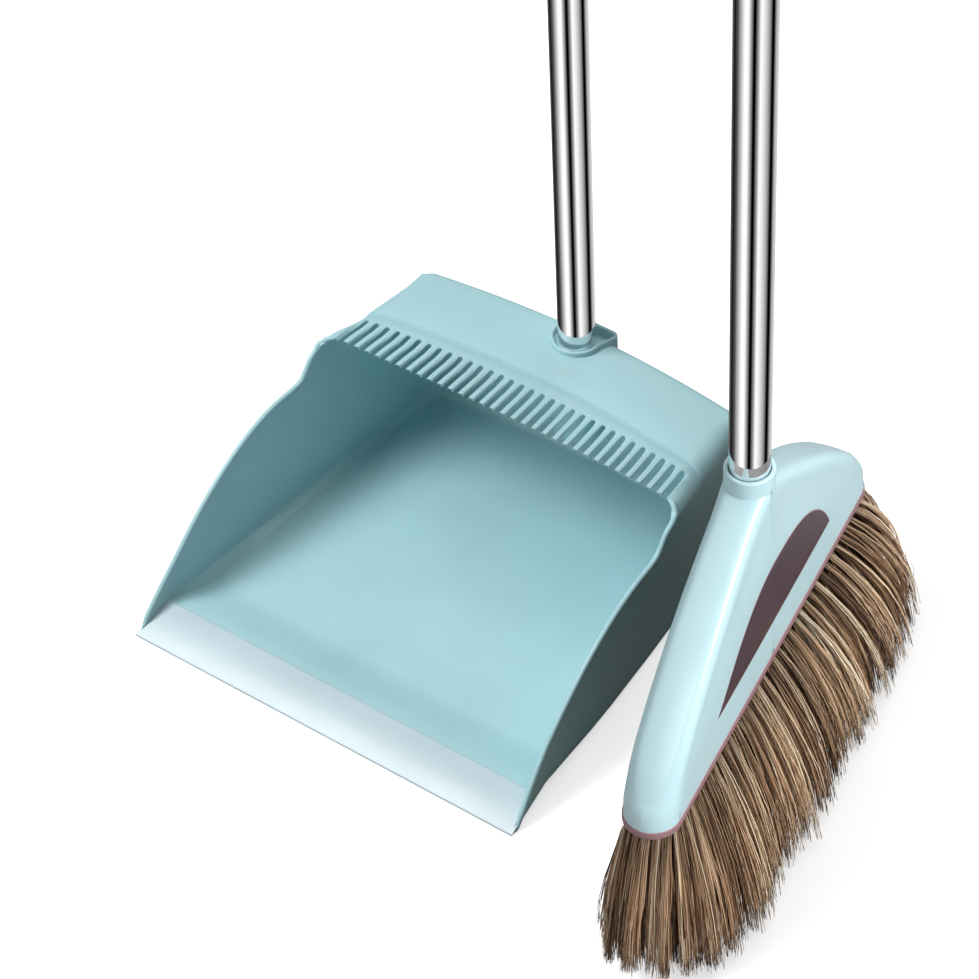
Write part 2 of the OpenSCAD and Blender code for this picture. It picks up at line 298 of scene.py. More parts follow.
def mesh_object(name: str, bm: bmesh.types.BMesh, place: Matrix = Matrix.Identity(4)) -> bpy.types.Object:
    """Makes an object of a mesh that is in millimetres.

    Args:
        name: The object's name.
        bm: Its mesh, which is freed.
        place: Where the mesh goes, still in millimetres.

    Returns:
        The object, at the origin, with its place in its mesh and in metres.
    """
    bmesh.ops.transform(bm, matrix=Matrix.Scale(MM, 4) @ place, verts=bm.verts)
    mesh = bpy.data.meshes.new(name)
    bm.to_mesh(mesh)
    bm.free()
    obj = bpy.data.objects.new(name, mesh)
    bpy.context.scene.collection.objects.link(obj)
    return obj


def settle(obj: bpy.types.Object, sharp_angle: float = 40) -> None:
    """Applies an object's modifiers and shades it smooth, with its sharp edges kept.

    Args:
        obj: The object, which keeps its name.
        sharp_angle: Edges that turn more than this many degrees stay sharp.
    """
    if obj.modifiers:
        evaluated = obj.evaluated_get(bpy.context.evaluated_depsgraph_get())
        fresh = bpy.data.meshes.new_from_object(evaluated)
        old, obj.data = obj.data, fresh
        bpy.data.meshes.remove(old)
        obj.modifiers.clear()
        fresh.name = obj.name
    obj.data.shade_smooth()
    obj.data.set_sharp_from_angle(angle=math.radians(sharp_angle))


def finish_piece(obj: bpy.types.Object, body: Body, material: bpy.types.Material,
                 replaces: Iterable[str] = (), sharp_angle: float = 40) -> bpy.types.Object:
    """Gives a piece its shading, material and body, and hides the CAD nodes that it stands for.

    Args:
        obj: The piece.
        body: The body it rides on.
        material: Its finish.
        replaces: CAD nodes that it stands for.
        sharp_angle: Edges that turn more than this stay sharp.

    Returns:
        The piece.
    """
    settle(obj, sharp_angle)
    obj.data.materials.clear()
    obj.data.materials.append(material)
    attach(obj, body.value)
    if replaces:
        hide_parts(*replaces)
    log.info("%s: %d faces on %s", obj.name, len(obj.data.polygons), body.value)
    return obj


# ---------------------------------------------------------------- finishes


def shader_tree(name: str) -> tuple[bpy.types.Material, bpy.types.NodeTree, bpy.types.Node]:
    """New material with its node tree and its Principled shader."""
    material = bpy.data.materials.new(name)
    material.use_nodes = True
    tree = material.node_tree
    return material, tree, tree.nodes["Principled BSDF"]


def moulded_group() -> bpy.types.NodeTree:
    """Shared effect of moulded plastic: faint mottling, fine grain and polish that varies.

    Returns:
        A group that puts out a colour, a roughness and a height.
    """
    found = bpy.data.node_groups.get("moulded_skin")
    if found:
        return found
    group = bpy.data.node_groups.new("moulded_skin", "ShaderNodeTree")
    face = group.interface
    colour = face.new_socket(name="Colour", in_out="INPUT", socket_type="NodeSocketColor")
    colour.default_value = (0.5, 0.5, 0.5, 1)
    for name, value in (("Mottle", 0.04), ("Polish", 0.4), ("Wear", 0.06), ("Grain Scale", 900.0)):
        face.new_socket(name=name, in_out="INPUT", socket_type="NodeSocketFloat").default_value = value
    face.new_socket(name="Colour", in_out="OUTPUT", socket_type="NodeSocketColor")
    face.new_socket(name="Roughness", in_out="OUTPUT", socket_type="NodeSocketFloat")
    face.new_socket(name="Height", in_out="OUTPUT", socket_type="NodeSocketFloat")
    nodes, links = group.nodes, group.links
    entry, leave = nodes.new("NodeGroupInput"), nodes.new("NodeGroupOutput")
    where = nodes.new("ShaderNodeTexCoord")

    def noise(scale: float, detail: float) -> bpy.types.Node:
        """Noise on the piece's own coordinates."""
        node = nodes.new("ShaderNodeTexNoise")
        node.inputs["Scale"].default_value, node.inputs["Detail"].default_value = scale, detail
        links.new(where.outputs["Object"], node.inputs["Vector"])
        return node

    clouds, scuffs, grain = noise(14, 2), noise(55, 5), noise(900, 2)
    links.new(entry.outputs["Grain Scale"], grain.inputs["Scale"])
    shade = nodes.new("ShaderNodeMapRange")
    shade.inputs["From Min"].default_value, shade.inputs["From Max"].default_value = 0.35, 0.65
    links.new(clouds.outputs["Fac"], shade.inputs["Value"])
    for socket, sign in (("To Min", -1), ("To Max", 1)):
        swing = nodes.new("ShaderNodeMath")
        swing.operation = "MULTIPLY_ADD"
        swing.inputs[1].default_value, swing.inputs[2].default_value = sign, 1
        links.new(entry.outputs["Mottle"], swing.inputs[0])
        links.new(swing.outputs[0], shade.inputs[socket])
    tint = nodes.new("ShaderNodeVectorMath")
    tint.operation = "SCALE"
    links.new(entry.outputs["Colour"], tint.inputs[0])
    links.new(shade.outputs["Result"], tint.inputs["Scale"])
    links.new(tint.outputs[0], leave.inputs["Colour"])
    rub = nodes.new("ShaderNodeMath")
    rub.operation = "SUBTRACT"
    links.new(scuffs.outputs["Fac"], rub.inputs[0])
    rub.inputs[1].default_value = 0.5
    polish = nodes.new("ShaderNodeMath")
    polish.operation = "MULTIPLY_ADD"
    links.new(rub.outputs[0], polish.inputs[0])
    links.new(entry.outputs["Wear"], polish.inputs[1])
    links.new(entry.outputs["Polish"], polish.inputs[2])
    links.new(polish.outputs[0], leave.inputs["Roughness"])
    links.new(grain.outputs["Fac"], leave.inputs["Height"])
    return group


@dataclass(frozen=True)
class PlasticFinish:
    """A moulded plastic: colour, polish and grain."""

    name: str
    colour: Colour
    polish: float = 0.4
    mottle: float = 0.03
    wear: float = 0.1
    grain_scale: float = 900
    grain_depth: float = 0.00002
    coat: float = 0.0
    soft: float = 0.0

    def material(self) -> bpy.types.Material:
        """Builds the finish once and returns it."""
        found = bpy.data.materials.get(self.name)
        if found:
            return found
        material, tree, shader = shader_tree(self.name)
        skin = tree.nodes.new("ShaderNodeGroup")
        skin.node_tree = moulded_group()
        for socket, value in (("Mottle", self.mottle), ("Polish", self.polish), ("Wear", self.wear),
                              ("Grain Scale", self.grain_scale)):
            skin.inputs[socket].default_value = value
        skin.inputs["Colour"].default_value = (*self.colour, 1)
        bump = tree.nodes.new("ShaderNodeBump")
        bump.inputs["Strength"].default_value = 0.35
        bump.inputs["Distance"].default_value = self.grain_depth
        tree.links.new(skin.outputs["Height"], bump.inputs["Height"])
        tree.links.new(bump.outputs["Normal"], shader.inputs["Normal"])
        tree.links.new(skin.outputs["Colour"], shader.inputs["Base Color"])
        tree.links.new(skin.outputs["Roughness"], shader.inputs["Roughness"])
        shader.inputs["Coat Weight"].default_value = self.coat
        shader.inputs["Coat Roughness"].default_value = 0.2
        if self.soft:
            shader.inputs["Subsurface Weight"].default_value = self.soft
            shader.inputs["Subsurface Radius"].default_value = (0.8, 1.0, 1.0)
            shader.inputs["Subsurface Scale"].default_value = 0.002
        return material


@dataclass(frozen=True)
class SteelFinish:
    """Polished stainless tube with a faint lengthwise grain."""

    name: str = "polished_stainless"
    colour: Colour = (0.86, 0.86, 0.87)

    def material(self) -> bpy.types.Material:
        """Builds the finish once and returns it."""
        found = bpy.data.materials.get(self.name)
        if found:
            return found
        material, tree, shader = shader_tree(self.name)
        nodes, links = tree.nodes, tree.links
        shader.inputs["Metallic"].default_value = 1
        where = nodes.new("ShaderNodeTexCoord")
        drawn = nodes.new("ShaderNodeMapping")
        drawn.inputs["Scale"].default_value = (2500, 2500, 4)
        links.new(where.outputs["Object"], drawn.inputs["Vector"])
        lines = nodes.new("ShaderNodeTexNoise")
        lines.inputs["Scale"].default_value, lines.inputs["Detail"].default_value = 1, 3
        links.new(drawn.outputs[0], lines.inputs["Vector"])
        polish = nodes.new("ShaderNodeMapRange")
        polish.inputs["To Min"].default_value, polish.inputs["To Max"].default_value = 0.05, 0.1
        links.new(lines.outputs["Fac"], polish.inputs["Value"])
        links.new(polish.outputs["Result"], shader.inputs["Roughness"])
        tone = nodes.new("ShaderNodeMapRange")
        tone.inputs["To Min"].default_value, tone.inputs["To Max"].default_value = 0.94, 1.03
        links.new(lines.outputs["Fac"], tone.inputs["Value"])
        tint = nodes.new("ShaderNodeVectorMath")
        tint.operation = "SCALE"
        tint.inputs[0].default_value = self.colour
        links.new(tone.outputs["Result"], tint.inputs["Scale"])
        links.new(tint.outputs[0], shader.inputs["Base Color"])
        return material


@dataclass(frozen=True)
class HairFinish:
    """Natural bristle: each hair has its own tone, with a painted shade that darkens it towards its root.
    """

    name: str = "horsehair_mix"
    tones: tuple[tuple[float, Colour], ...] = (
        (0.0, linear(60, 40, 28)), (0.28, linear(126, 94, 70)), (0.55, linear(198, 160, 126)),
        (0.8, linear(240, 212, 176)), (1.0, linear(255, 242, 216)))

    def material(self) -> bpy.types.Material:
        """Builds the finish once and returns it."""
        found = bpy.data.materials.get(self.name)
        if found:
            return found
        material, tree, shader = shader_tree(self.name)
        nodes, links = tree.nodes, tree.links
        tone, along = nodes.new("ShaderNodeAttribute"), nodes.new("ShaderNodeAttribute")
        tone.attribute_name, along.attribute_name = "hair_tone", "hair_along"
        ramp = nodes.new("ShaderNodeValToRGB")
        while len(ramp.color_ramp.elements) < len(self.tones):
            ramp.color_ramp.elements.new(0.5)
        for element, (at, colour) in zip(ramp.color_ramp.elements, self.tones):
            element.position, element.color = at, (*colour, 1)
        links.new(tone.outputs["Fac"], ramp.inputs["Fac"])
        # Painted shade: the colour is darkened near each hair's root, where the hairs crowd under the
        # plate.
        shade = nodes.new("ShaderNodeMapRange")
        shade.inputs["To Min"].default_value, shade.inputs["To Max"].default_value = 0.55, 1.1
        shade.inputs["From Max"].default_value = 0.45
        links.new(along.outputs["Fac"], shade.inputs["Value"])
        tint = nodes.new("ShaderNodeVectorMath")
        tint.operation = "SCALE"
        links.new(ramp.outputs["Color"], tint.inputs[0])
        links.new(shade.outputs["Result"], tint.inputs["Scale"])
        links.new(tint.outputs[0], shader.inputs["Base Color"])
        shader.inputs["Roughness"].default_value = 0.45
        shader.inputs["Specular IOR Level"].default_value = 0.35
        return material


AQUA = PlasticFinish("aqua_polypropylene", linear(167, 207, 213), polish=0.42)
PALE_AQUA = PlasticFinish("pale_aqua_gloss", linear(196, 229, 236), polish=0.3, mottle=0.015, coat=0.25)
SOFT_LIP = PlasticFinish("pale_soft_lip", linear(184, 204, 211), polish=0.33, mottle=0.03, soft=0.15)
MAUVE = PlasticFinish("dusty_mauve", linear(158, 120, 125), polish=0.45)
# The crescent inlay's colour is the plate's mauve plastic darkened: a painted shade that stands for the
# shade inside a recessed crescent.
MAUVE_PAINTED_SHADE = PlasticFinish("mauve_insert_painted_shade", linear(66, 42, 54), polish=0.32, coat=0.3)
STEEL = SteelFinish()
HAIR = HairFinish()


# ---------------------------------------------------------------- dust pan


@dataclass
class PanShell:
    """The pan's moulding: floor, walls, hood, comb and back, as one sheet with a thickness."""

    body: Body = Body.PAN
    half_w: float = 133
    depth: float = 258
    bow: float = 6
    corner_r: float = 10
    wall: float = 2.4
    shelf_h: float = 82.5
    shelf_reach: float = 135
    rim_reach: float = 3.4
    hood_h: float = 106
    hood_reach: float = 178
    hood_fall: float = 3
    edge_r: float = 13
    front_edge_r: float = 9
    back_edge_r: float = 5
    teeth: int = 31
    pitch: float = 7.1
    slot_w: float = 3
    comb_edge: float = 113
    step_down: float = 1.3
    groove_depth: float = 1.1
    tooth_crown: float = 1.75
    bead_r: float = 1.7
    taper: float = 20
    ear_reach: float = 168
    tip_reach: float = 179.5
    root_reach: float = 206
    groove_reach: float = 216
    root_row: int = 5
    fillet_cols: int = 4
    wall_cols: int = 22
    arc_cols: int = 8
    mouth_y: float = field(default_factory=lambda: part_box("pan_lip")[0].y / MM)
    columns: list[tuple[float, str, float]] = field(init=False, default_factory=list)
    rim: list[tuple[float, float]] = field(init=False, default_factory=list)
    tops: list[float] = field(init=False, default_factory=list)
    foots: list[float] = field(init=False, default_factory=list)

    # -- outline and section

    def side_x(self, reach: float) -> float:
        """Half width of the pan at mid height."""
        return self.half_w - self.taper * (max(reach, 0) / self.depth) ** 1.6

    def turn_reach(self) -> float:
        """Reach at which the side starts to turn into the back."""
        return self.depth - self.corner_r

    def run_end(self) -> float:
        """Run along the side and round the corner, up to the back wall."""
        return self.turn_reach() + self.corner_r * math.pi / 2

    def flare(self, reach: float, rise: float) -> float:
        """How far the wall leans out of its mid line at a share of its height.

        Args:
            reach: Distance from the mouth.
            rise: Share of the hood's height.

        Returns:
            The lean, positive outwards.
        """
        ear = 2.2 * smooth(60, 170, reach) * (1 - smooth(176, 206, reach))
        foot = 3.2 * smooth(0, 45, reach)
        return ear * rise - foot * (1 - rise)

    def plan(self, run: float, inset: float) -> Point2:
        """Point of the pan's outline, as x and reach, moved inwards.

        Args:
            run: Distance along the side from the mouth, then round the corner.
            inset: How far inside the outline.

        Returns:
            The point's x and reach.
        """
        turn = self.turn_reach()
        if run <= turn:
            return self.side_x(run) - inset, run
        angle = min((run - turn) / self.corner_r, math.pi / 2)
        centre, r = self.side_x(turn) - self.corner_r, self.corner_r - inset
        return centre + r * math.cos(angle), turn + r * math.sin(angle)

    def round_r(self, run: float) -> float:
        """Radius of the top edge: tight at the hood's front, full behind it, small at the back."""
        front = lerp(self.front_edge_r, self.edge_r, smooth(self.hood_reach, 202, run))
        return lerp(front, self.back_edge_r, smooth(self.turn_reach() - 10, self.run_end(), run))

    def foot_r(self, run: float) -> float:
        """Radius between the floor and the walls."""
        return 1 + 6 * smooth(0, 30, run)

    def top_inset(self, run: float) -> float:
        """How far inside the outline the side patch hands over to the hood patch.

        Args:
            run: Distance along the side.

        Returns:
            The inset from the outline.
        """
        if run <= self.turn_reach():
            turning = smooth(208, self.turn_reach(), run)
            return max(lerp(self.side_x(run) - self.comb_edge, self.corner_r - 1, turning), 4.5)
        return lerp(self.corner_r - 1, self.back_edge_r, smooth(self.turn_reach(), self.run_end(), run))

    def section(self, run: float, level: float) -> Vector:
        """Point of the pan's side at a run and a level.

        Args:
            run: Distance along the side.
            level: Position up the section, in columns: fillet, wall, then top edge.

        Returns:
            The point as x, reach and height.
        """
        fillet_end = self.fillet_cols
        wall_end = fillet_end + self.wall_cols
        foot, r = self.foot_r(run), self.round_r(run)
        wall_top = self.hood_h - r
        if level <= fillet_end:
            a = math.pi / 2 * level / fillet_end
            inset, z = foot * (1 - math.sin(a)), foot * (1 - math.cos(a))
        elif level <= wall_end:
            inset, z = 0.0, lerp(foot, wall_top, (level - fillet_end) / self.wall_cols)
        else:
            share = (level - wall_end) / self.arc_cols
            reach_in = self.top_inset(run)
            if reach_in <= r:
                a = math.acos(1 - reach_in / r) * share
                inset, z = r * (1 - math.cos(a)), wall_top + r * math.sin(a)
            else:
                curved = r * math.pi / 2
                length = share * (curved + reach_in - r)
                a = min(length / r, math.pi / 2)
                inset = r * (1 - math.cos(a)) + max(0.0, length - curved)
                z = wall_top + r * math.sin(a)
        x, reach = self.plan(run, inset)
        return Vector((x + self.flare(reach, z / self.hood_h), reach, z))

    def level_of(self, run: float, z: float) -> float:
        """Level at which the section reaches a height on its fillet or wall.

        Args:
            run: Distance along the side.
            z: The height.

        Returns:
            The level, in columns.
        """
        foot, wall_top = self.foot_r(run), self.hood_h - self.round_r(run)
        if z < foot:
            return self.fillet_cols * math.acos(1 - z / foot) / (math.pi / 2)
        return self.fillet_cols + self.wall_cols * (z - foot) / (wall_top - foot)

    # -- rim

    def rim_z(self, reach: float) -> float:
        """Height of the rim in front of the hood.

        Args:
            reach: Distance from the mouth.

        Returns:
            The height above the floor.
        """
        start = self.shelf_reach + (self.hood_reach - self.shelf_reach) / 3
        share = min(1.0, max(0.0, (reach - self.rim_reach) / (self.shelf_reach - self.rim_reach)))
        z = self.shelf_h * (1 - (1 - share) ** 1.8)
        if reach > start:
            z += (self.hood_h - self.shelf_h) * (1 - math.cos(math.pi * (reach - start) / 26)) / 2
        return z

    def rim_line(self) -> list[tuple[float, float]]:
        """The rim as run and level, from the mouth to the comb, one for each side column.

        Returns:
            A run and a level for each column.
        """
        wall_end = self.fillet_cols + self.wall_cols
        ear = self.ear_reach
        fine = [lerp(self.rim_reach, ear, (i / 400) ** 1.3) for i in range(401)]
        line = [Vector((run, min(self.rim_z(run), self.hood_h - self.round_r(run)), 0)) for run in fine]
        spread = resample(line, wall_end + 1)
        rim = [(p.x, min(self.level_of(p.x, p.y), wall_end)) for p in spread]
        turns = self.arc_cols - 1
        for i in range(1, turns + 1):
            share = i / turns
            rim.append((lerp(ear, self.tip(self.comb_edge), math.sin(share * math.pi / 2)),
                        wall_end + self.arc_cols * share))
        return rim

    # -- comb rows

    def tip(self, x: float) -> float:
        """Reach of the comb's tips."""
        return self.tip_reach - 3 * (x / self.comb_edge) ** 2

    def root(self, x: float) -> float:
        """Reach of the slots' roots."""
        return self.root_reach - 6 * (x / self.comb_edge) ** 2

    def groove(self, x: float) -> float:
        """Reach of the step behind the comb."""
        return self.groove_reach - 9 * (x / self.comb_edge) ** 2

    def comb_columns(self) -> list[tuple[float, str, float]]:
        """Columns of the hood from its middle: x, what it belongs to, and where across that.

        Returns:
            An x, a kind and a share from -1 to 1 for each column.
        """
        def across(count: int) -> list[float]:
            """Shares from edge to edge, closer together at the edges."""
            return [-math.cos(math.pi * i / count) for i in range(count + 1)]
        tooth_half, slot_half = (self.pitch - self.slot_w) / 2, self.slot_w / 2
        columns = [(tooth_half * s, "tooth", s) for s in (0.0, math.sqrt(0.5))]
        for k in range(1, (self.teeth + 1) // 2 + 1):
            slot_x = self.pitch * (k - 0.5)
            columns += [(slot_x + slot_half * s, "slot", s) for s in across(4)]
            if k < (self.teeth + 1) // 2:
                columns += [(self.pitch * k + tooth_half * s, "tooth", s) for s in across(4)[1:-1]]
        return columns + [(self.comb_edge, "margin", 1.0)]

    def hood_rows(self, x: float, kind: str, s: float) -> list[float]:
        """Reach of each row of the hood at a column.

        Args:
            x: Distance from the middle.
            kind: "tooth", "slot" or "margin".
            s: Where across the tooth or slot, from -1 to 1.

        Returns:
            The reaches, from the comb's tips to behind the step.
        """
        bend = 2.05 * (1 - math.sqrt(max(0.0, 1 - s * s))) if kind == "tooth" else 0.0
        dip = 1.5 * (1 - math.sqrt(max(0.0, 1 - s * s))) if kind == "slot" else 0.0
        tip, root, groove = self.tip(x), self.root(x), self.groove(x)
        front = [tip + bend, tip + bend + 0.35, tip + bend + 1.2, tip + bend * 0.5 + 9, tip + 17]
        return front + [root - dip, root + 2.2, groove - 1.4, groove - 0.5, groove + 0.5, groove + 2.5]

    def tail_shares(self) -> list[float]:
        """Where the hood's last rows stand between the step and the back edge."""
        return [0.3, 0.62, 0.84, 1.0]

    def top_runs(self) -> list[float]:
        """Run of each row at the column where the side hands over to the hood."""
        rows = self.hood_rows(self.comb_edge, "margin", 1.0)
        return rows + [lerp(rows[-1], self.run_end(), share) for share in self.tail_shares()]

    def side_shares(self) -> list[float]:
        """Where the rows stand along the foot of the side, from its front to the back."""
        count = len(self.top_runs()) - 1
        return [0, 0.008, 0.03, 0.1] + [lerp(0.1, 1, (i / (count - 3)) ** 0.9) for i in range(1, count - 2)]

    def side_point(self, column: int, row: int) -> Vector:
        """Corner of the side patch.

        Args:
            column: Column up the section.
            row: Row from the mouth to the back.

        Returns:
            Its place.
        """
        last = self.fillet_cols + self.wall_cols + self.arc_cols
        run0, level0 = self.rim[column]
        tops, end = self.tops, self.run_end()
        top_share = (tops[row] - tops[0]) / (end - tops[0])
        share = lerp(self.foots[row], top_share, smooth(0, last, column))
        level = lerp(level0, column, smooth(0, 0.8, share))
        return self.section(lerp(run0, end, share), level)

    def hood_point(self, column: int, row: int) -> Vector:
        """Corner of the hood patch, whose outer column is the side patch's last one.

        Args:
            column: Column from the middle.
            row: Row from the comb to the back.

        Returns:
            Its place.
        """
        x0, kind, s = self.columns[column]
        edge = self.side_point(len(self.rim) - 1, row)
        share = x0 / self.comb_edge
        fixed = len(self.hood_rows(0, "margin", 1))
        if row < fixed:
            reach = self.hood_rows(x0, kind, s)[row]
            x = x0 * edge.x / self.comb_edge
        else:
            first = self.hood_rows(0, "margin", 1)[-1]
            middle = lerp(first, self.depth + self.bow - self.back_edge_r, self.tail_shares()[row - fixed])
            reach = lerp(middle, edge.y, share * share)
            x = edge.x * share
        flat_to = min(0.98, (self.side_x(reach) - self.round_r(reach)) / max(edge.x, 1))
        drop = (self.hood_h - edge.z) * (max(0.0, share - flat_to) / (1 - flat_to)) ** 2
        return Vector((x, reach, self.hood_h - drop))

    def floor_point(self, column: int, row: int) -> Vector:
        """Corner of the floor patch.

        Args:
            column: Column from the middle.
            row: Row from the mouth to the back.

        Returns:
            Its place.
        """
        edge = self.side_point(0, row)
        share = self.columns[column][0] / self.comb_edge
        middle = lerp(self.rim_reach, self.depth + self.bow - self.foot_r(self.run_end()), self.foots[row])
        return Vector((edge.x * share, lerp(middle, edge.y, share * share), edge.z))

    def back_point(self, column: int, row: int) -> Vector:
        """Corner of the back patch, between the floor and the hood.

        Args:
            column: Column from the middle.
            row: Row from the floor up.

        Returns:
            Its place.
        """
        edge = self.side_point(row, len(self.tops) - 1)
        share = self.columns[column][0] / self.comb_edge
        return Vector((edge.x * share, edge.y + self.bow * (1 - share * share), edge.z))

    def settle_height(self, point: Vector, kind: str, s: float) -> None:
        """Tilts and crowns the hood, and lowers the comb's band.

        Args:
            point: The corner, which is moved.
            kind: What it belongs to, or nothing off the hood.
            s: Where across the tooth or slot.
        """
        behind = max(0.0, point.y - self.hood_reach) / (self.depth + self.bow - self.hood_reach)
        sides = 1 + 0.8 * (point.x / 100) ** 2
        point.z -= self.hood_fall * behind * sides * smooth(40, self.hood_h, point.z)
        if point.z < 90 or point.y < self.hood_reach - 6:
            return
        groove = self.groove(min(abs(point.x), self.comb_edge))
        fade = smooth(92, 101, point.z)
        point.z -= fade * (self.step_down * (1 - smooth(groove - 0.6, groove + 0.6, point.y))
                           + self.groove_depth * math.exp(-((point.y - groove + 0.4) / 0.9) ** 2))
        if kind == "tooth" or (kind == "slot" and abs(s) >= 1):
            away = 1 - smooth(self.root(point.x) - 5, self.root(point.x), point.y)
            share = abs(s) if kind == "tooth" else 1.0
            point.z -= away * self.tooth_crown * (1 - math.sqrt(max(0.0, 1 - share * share)))

    def thickness(self, column: int, row: int) -> float:
        """Share of the wall's thickness at a corner of the hood.

        Args:
            column: Column from the middle.
            row: Row from the comb to the back.

        Returns:
            The share, from 0 to 1.
        """
        x, kind, s = self.columns[column]
        if row > self.root_row:
            return 1.0
        if kind == "slot":
            return 0.45 if abs(s) < 1 or row == self.root_row else 0.12
        round_tooth = max(0.12, math.sqrt(max(0.0, 1 - s * s))) if kind == "tooth" else 1.0
        ends = (0.12, 0.65, 1.0)
        return round_tooth * (ends[row] if row < len(ends) else 1.0)

    def sheet(self) -> tuple[bmesh.types.BMesh, bmesh.types.BMLayerItem]:
        """The right half of the moulding's outer face, and its layer of thickness shares.

        Returns:
            The half sheet and the layer.
        """
        self.columns, self.rim = self.comb_columns(), self.rim_line()
        self.tops, self.foots = self.top_runs(), self.side_shares()
        bm = bmesh.new()
        shares = bm.verts.layers.float.new("share")
        rows, across, up = len(self.tops) - 1, len(self.columns) - 1, len(self.rim) - 1
        made = {
            "side": patch(bm, up, rows, self.side_point),
            "floor": patch(bm, across, rows, self.floor_point),
            "back": patch(bm, across, up, self.back_point),
            "hood": patch(bm, across, rows, self.hood_point),
        }
        gone = set()
        for name, verts in made.items():
            for vert, i, j in verts:
                kind, s = self.columns[i][1:] if name == "hood" else ("", 0.0)
                self.settle_height(vert.co, kind, s)
                vert[shares] = self.thickness(i, j) if name == "hood" else 1.0
        for vert, i, j in made["hood"]:
            if self.columns[i][1] == "slot" and abs(self.columns[i][2]) < 1 and j < self.root_row:
                gone.add(vert)
        bmesh.ops.delete(bm, geom=list(gone), context="VERTS")
        return bm, shares

    def rim_bead(self) -> bmesh.types.BMesh:
        """Rounded bead along the rim, from the mouth over the ear to the comb.

        Returns:
            The right side's bead.
        """
        path = []
        for (run, level), (next_run, next_level) in zip(self.rim, self.rim[1:]):
            for step in range(3):
                t = step / 3
                at = self.section(lerp(run, next_run, t), lerp(level, next_level, t))
                self.settle_height(at, "", 0)
                path.append(at - Vector((self.wall / 2, 0, 0)) * (1 - smooth(92, 104, at.z))
                            - Vector((0, 0, self.wall / 2)) * smooth(92, 104, at.z))
        count = len(path)
        widths = [min(1.0, 0.55 + 0.09 * i) * min(1.0, 0.3 + 0.12 * (count - i)) for i in range(count)]
        middle = [(a + b * 2 + c) / 4 for a, b, c in zip(path, path[1:], path[2:])]
        return swept("rim_bead", [path[0], *middle, path[-1]], self.bead_r, widths)

    def build(self) -> bpy.types.Object:
        """Makes the moulding.

        Returns:
            The finished piece.
        """
        bm, shares = self.sheet()
        bmesh.ops.remove_doubles(bm, verts=bm.verts, dist=0.02)
        bmesh.ops.mirror(bm, geom=bm.verts[:] + bm.edges[:] + bm.faces[:], axis="X", merge_dist=0.01)
        bmesh.ops.recalc_face_normals(bm, faces=bm.faces)
        under = min(bm.faces, key=lambda f: f.calc_center_median().z)
        if under.normal.z > 0:
            bmesh.ops.reverse_faces(bm, faces=bm.faces)
        weights = [vert[shares] for vert in bm.verts]
        place = Matrix.Translation((0, self.mouth_y, 0))
        obj = mesh_object("pan_moulding", bm, place)
        group = obj.vertex_groups.new(name="share")
        for index, weight in enumerate(weights):
            group.add([index], weight, "REPLACE")
        solid = obj.modifiers.new("wall", "SOLIDIFY")
        solid.thickness, solid.offset = self.wall * MM, -1
        solid.vertex_group, solid.thickness_vertex_group = "share", 0.0
        settle(obj)
        whole = bmesh.new()
        whole.from_mesh(obj.data)
        bead = self.rim_bead()
        bmesh.ops.transform(bead, matrix=Matrix.Scale(MM, 4) @ place, verts=bead.verts)
        other = bmesh.new()
        absorb(other, bead.copy())
        bmesh.ops.transform(other, matrix=Matrix.Scale(-1, 4, (1, 0, 0)), verts=other.verts)
        bmesh.ops.reverse_faces(other, faces=other.faces)
        absorb(whole, bead, other)
        whole.to_mesh(obj.data)
        whole.free()
        return finish_piece(obj, self.body, AQUA.material(), ["pan_shell"])


@dataclass
class SweepingLip:
    """The ramp at the mouth and the pale soft strip that covers its front."""

    shell: PanShell
    crest_reach: float = 27
    crest_h: float = 9.6
    ramp_end: float = 60
    strip_t: float = 1.6

    def across(self, profile: Sequence[Point2], bury: float) -> bmesh.types.BMesh:
        """Carries a profile, as reach and height, from wall to wall.

        Args:
            profile: Its outline.
            bury: How far its ends stand inside the outline of the pan.

        Returns:
            The mesh, closed at both ends.
        """
        steps = 48
        bm = extruded([Vector((0, p, z)) for p, z in profile], Vector((1, 0, 0)))
        long_edges = [e for e in bm.edges if abs(e.verts[0].co.x - e.verts[1].co.x) > 0.5]
        bmesh.ops.subdivide_edges(bm, edges=long_edges, cuts=steps - 1, use_grid_fill=True)
        for vert in bm.verts:
            run = max(vert.co.y, 0.0)
            half = self.shell.section(run, self.shell.level_of(run, vert.co.z)).x - bury
            vert.co.x = lerp(-half, half, vert.co.x)
        bmesh.ops.recalc_face_normals(bm, faces=bm.faces)
        return bm

    def build(self) -> None:
        """Makes the ramp and the strip."""
        place = Matrix.Translation((0, self.shell.mouth_y, 0))
        crest, top, t = self.crest_reach, self.crest_h, self.strip_t
        slope = [(lerp(crest - 0.5, self.ramp_end, i / 14),
                  2.35 + (top - t - 1.6) * (1 - smooth(0, 14, i))) for i in range(15)]
        front = [(3.2, 0.4), (3.2, 1.0), (crest - 2, top - t - 0.4)]
        ramp = self.across([*front, *slope, (self.ramp_end, 0.4)], 1.2)
        finish_piece(mesh_object("pan_ramp", ramp, place), Body.PAN, AQUA.material(), (), 30)
        nose = arc(0.95, 0.9, 0.9, 260, 110, 6)
        hook = arc(crest - 1.2, top - 1.25, 1.25, 105, -60, 8)
        strip = self.across([*nose, *hook, (crest - 2.2, top - t - 0.9), (3.6, 0.25)], 0.9)
        lip = mesh_object("pan_sweeping_lip", strip, place)
        finish_piece(lip, Body.PAN, SOFT_LIP.material(), ["pan_lip"], 50)


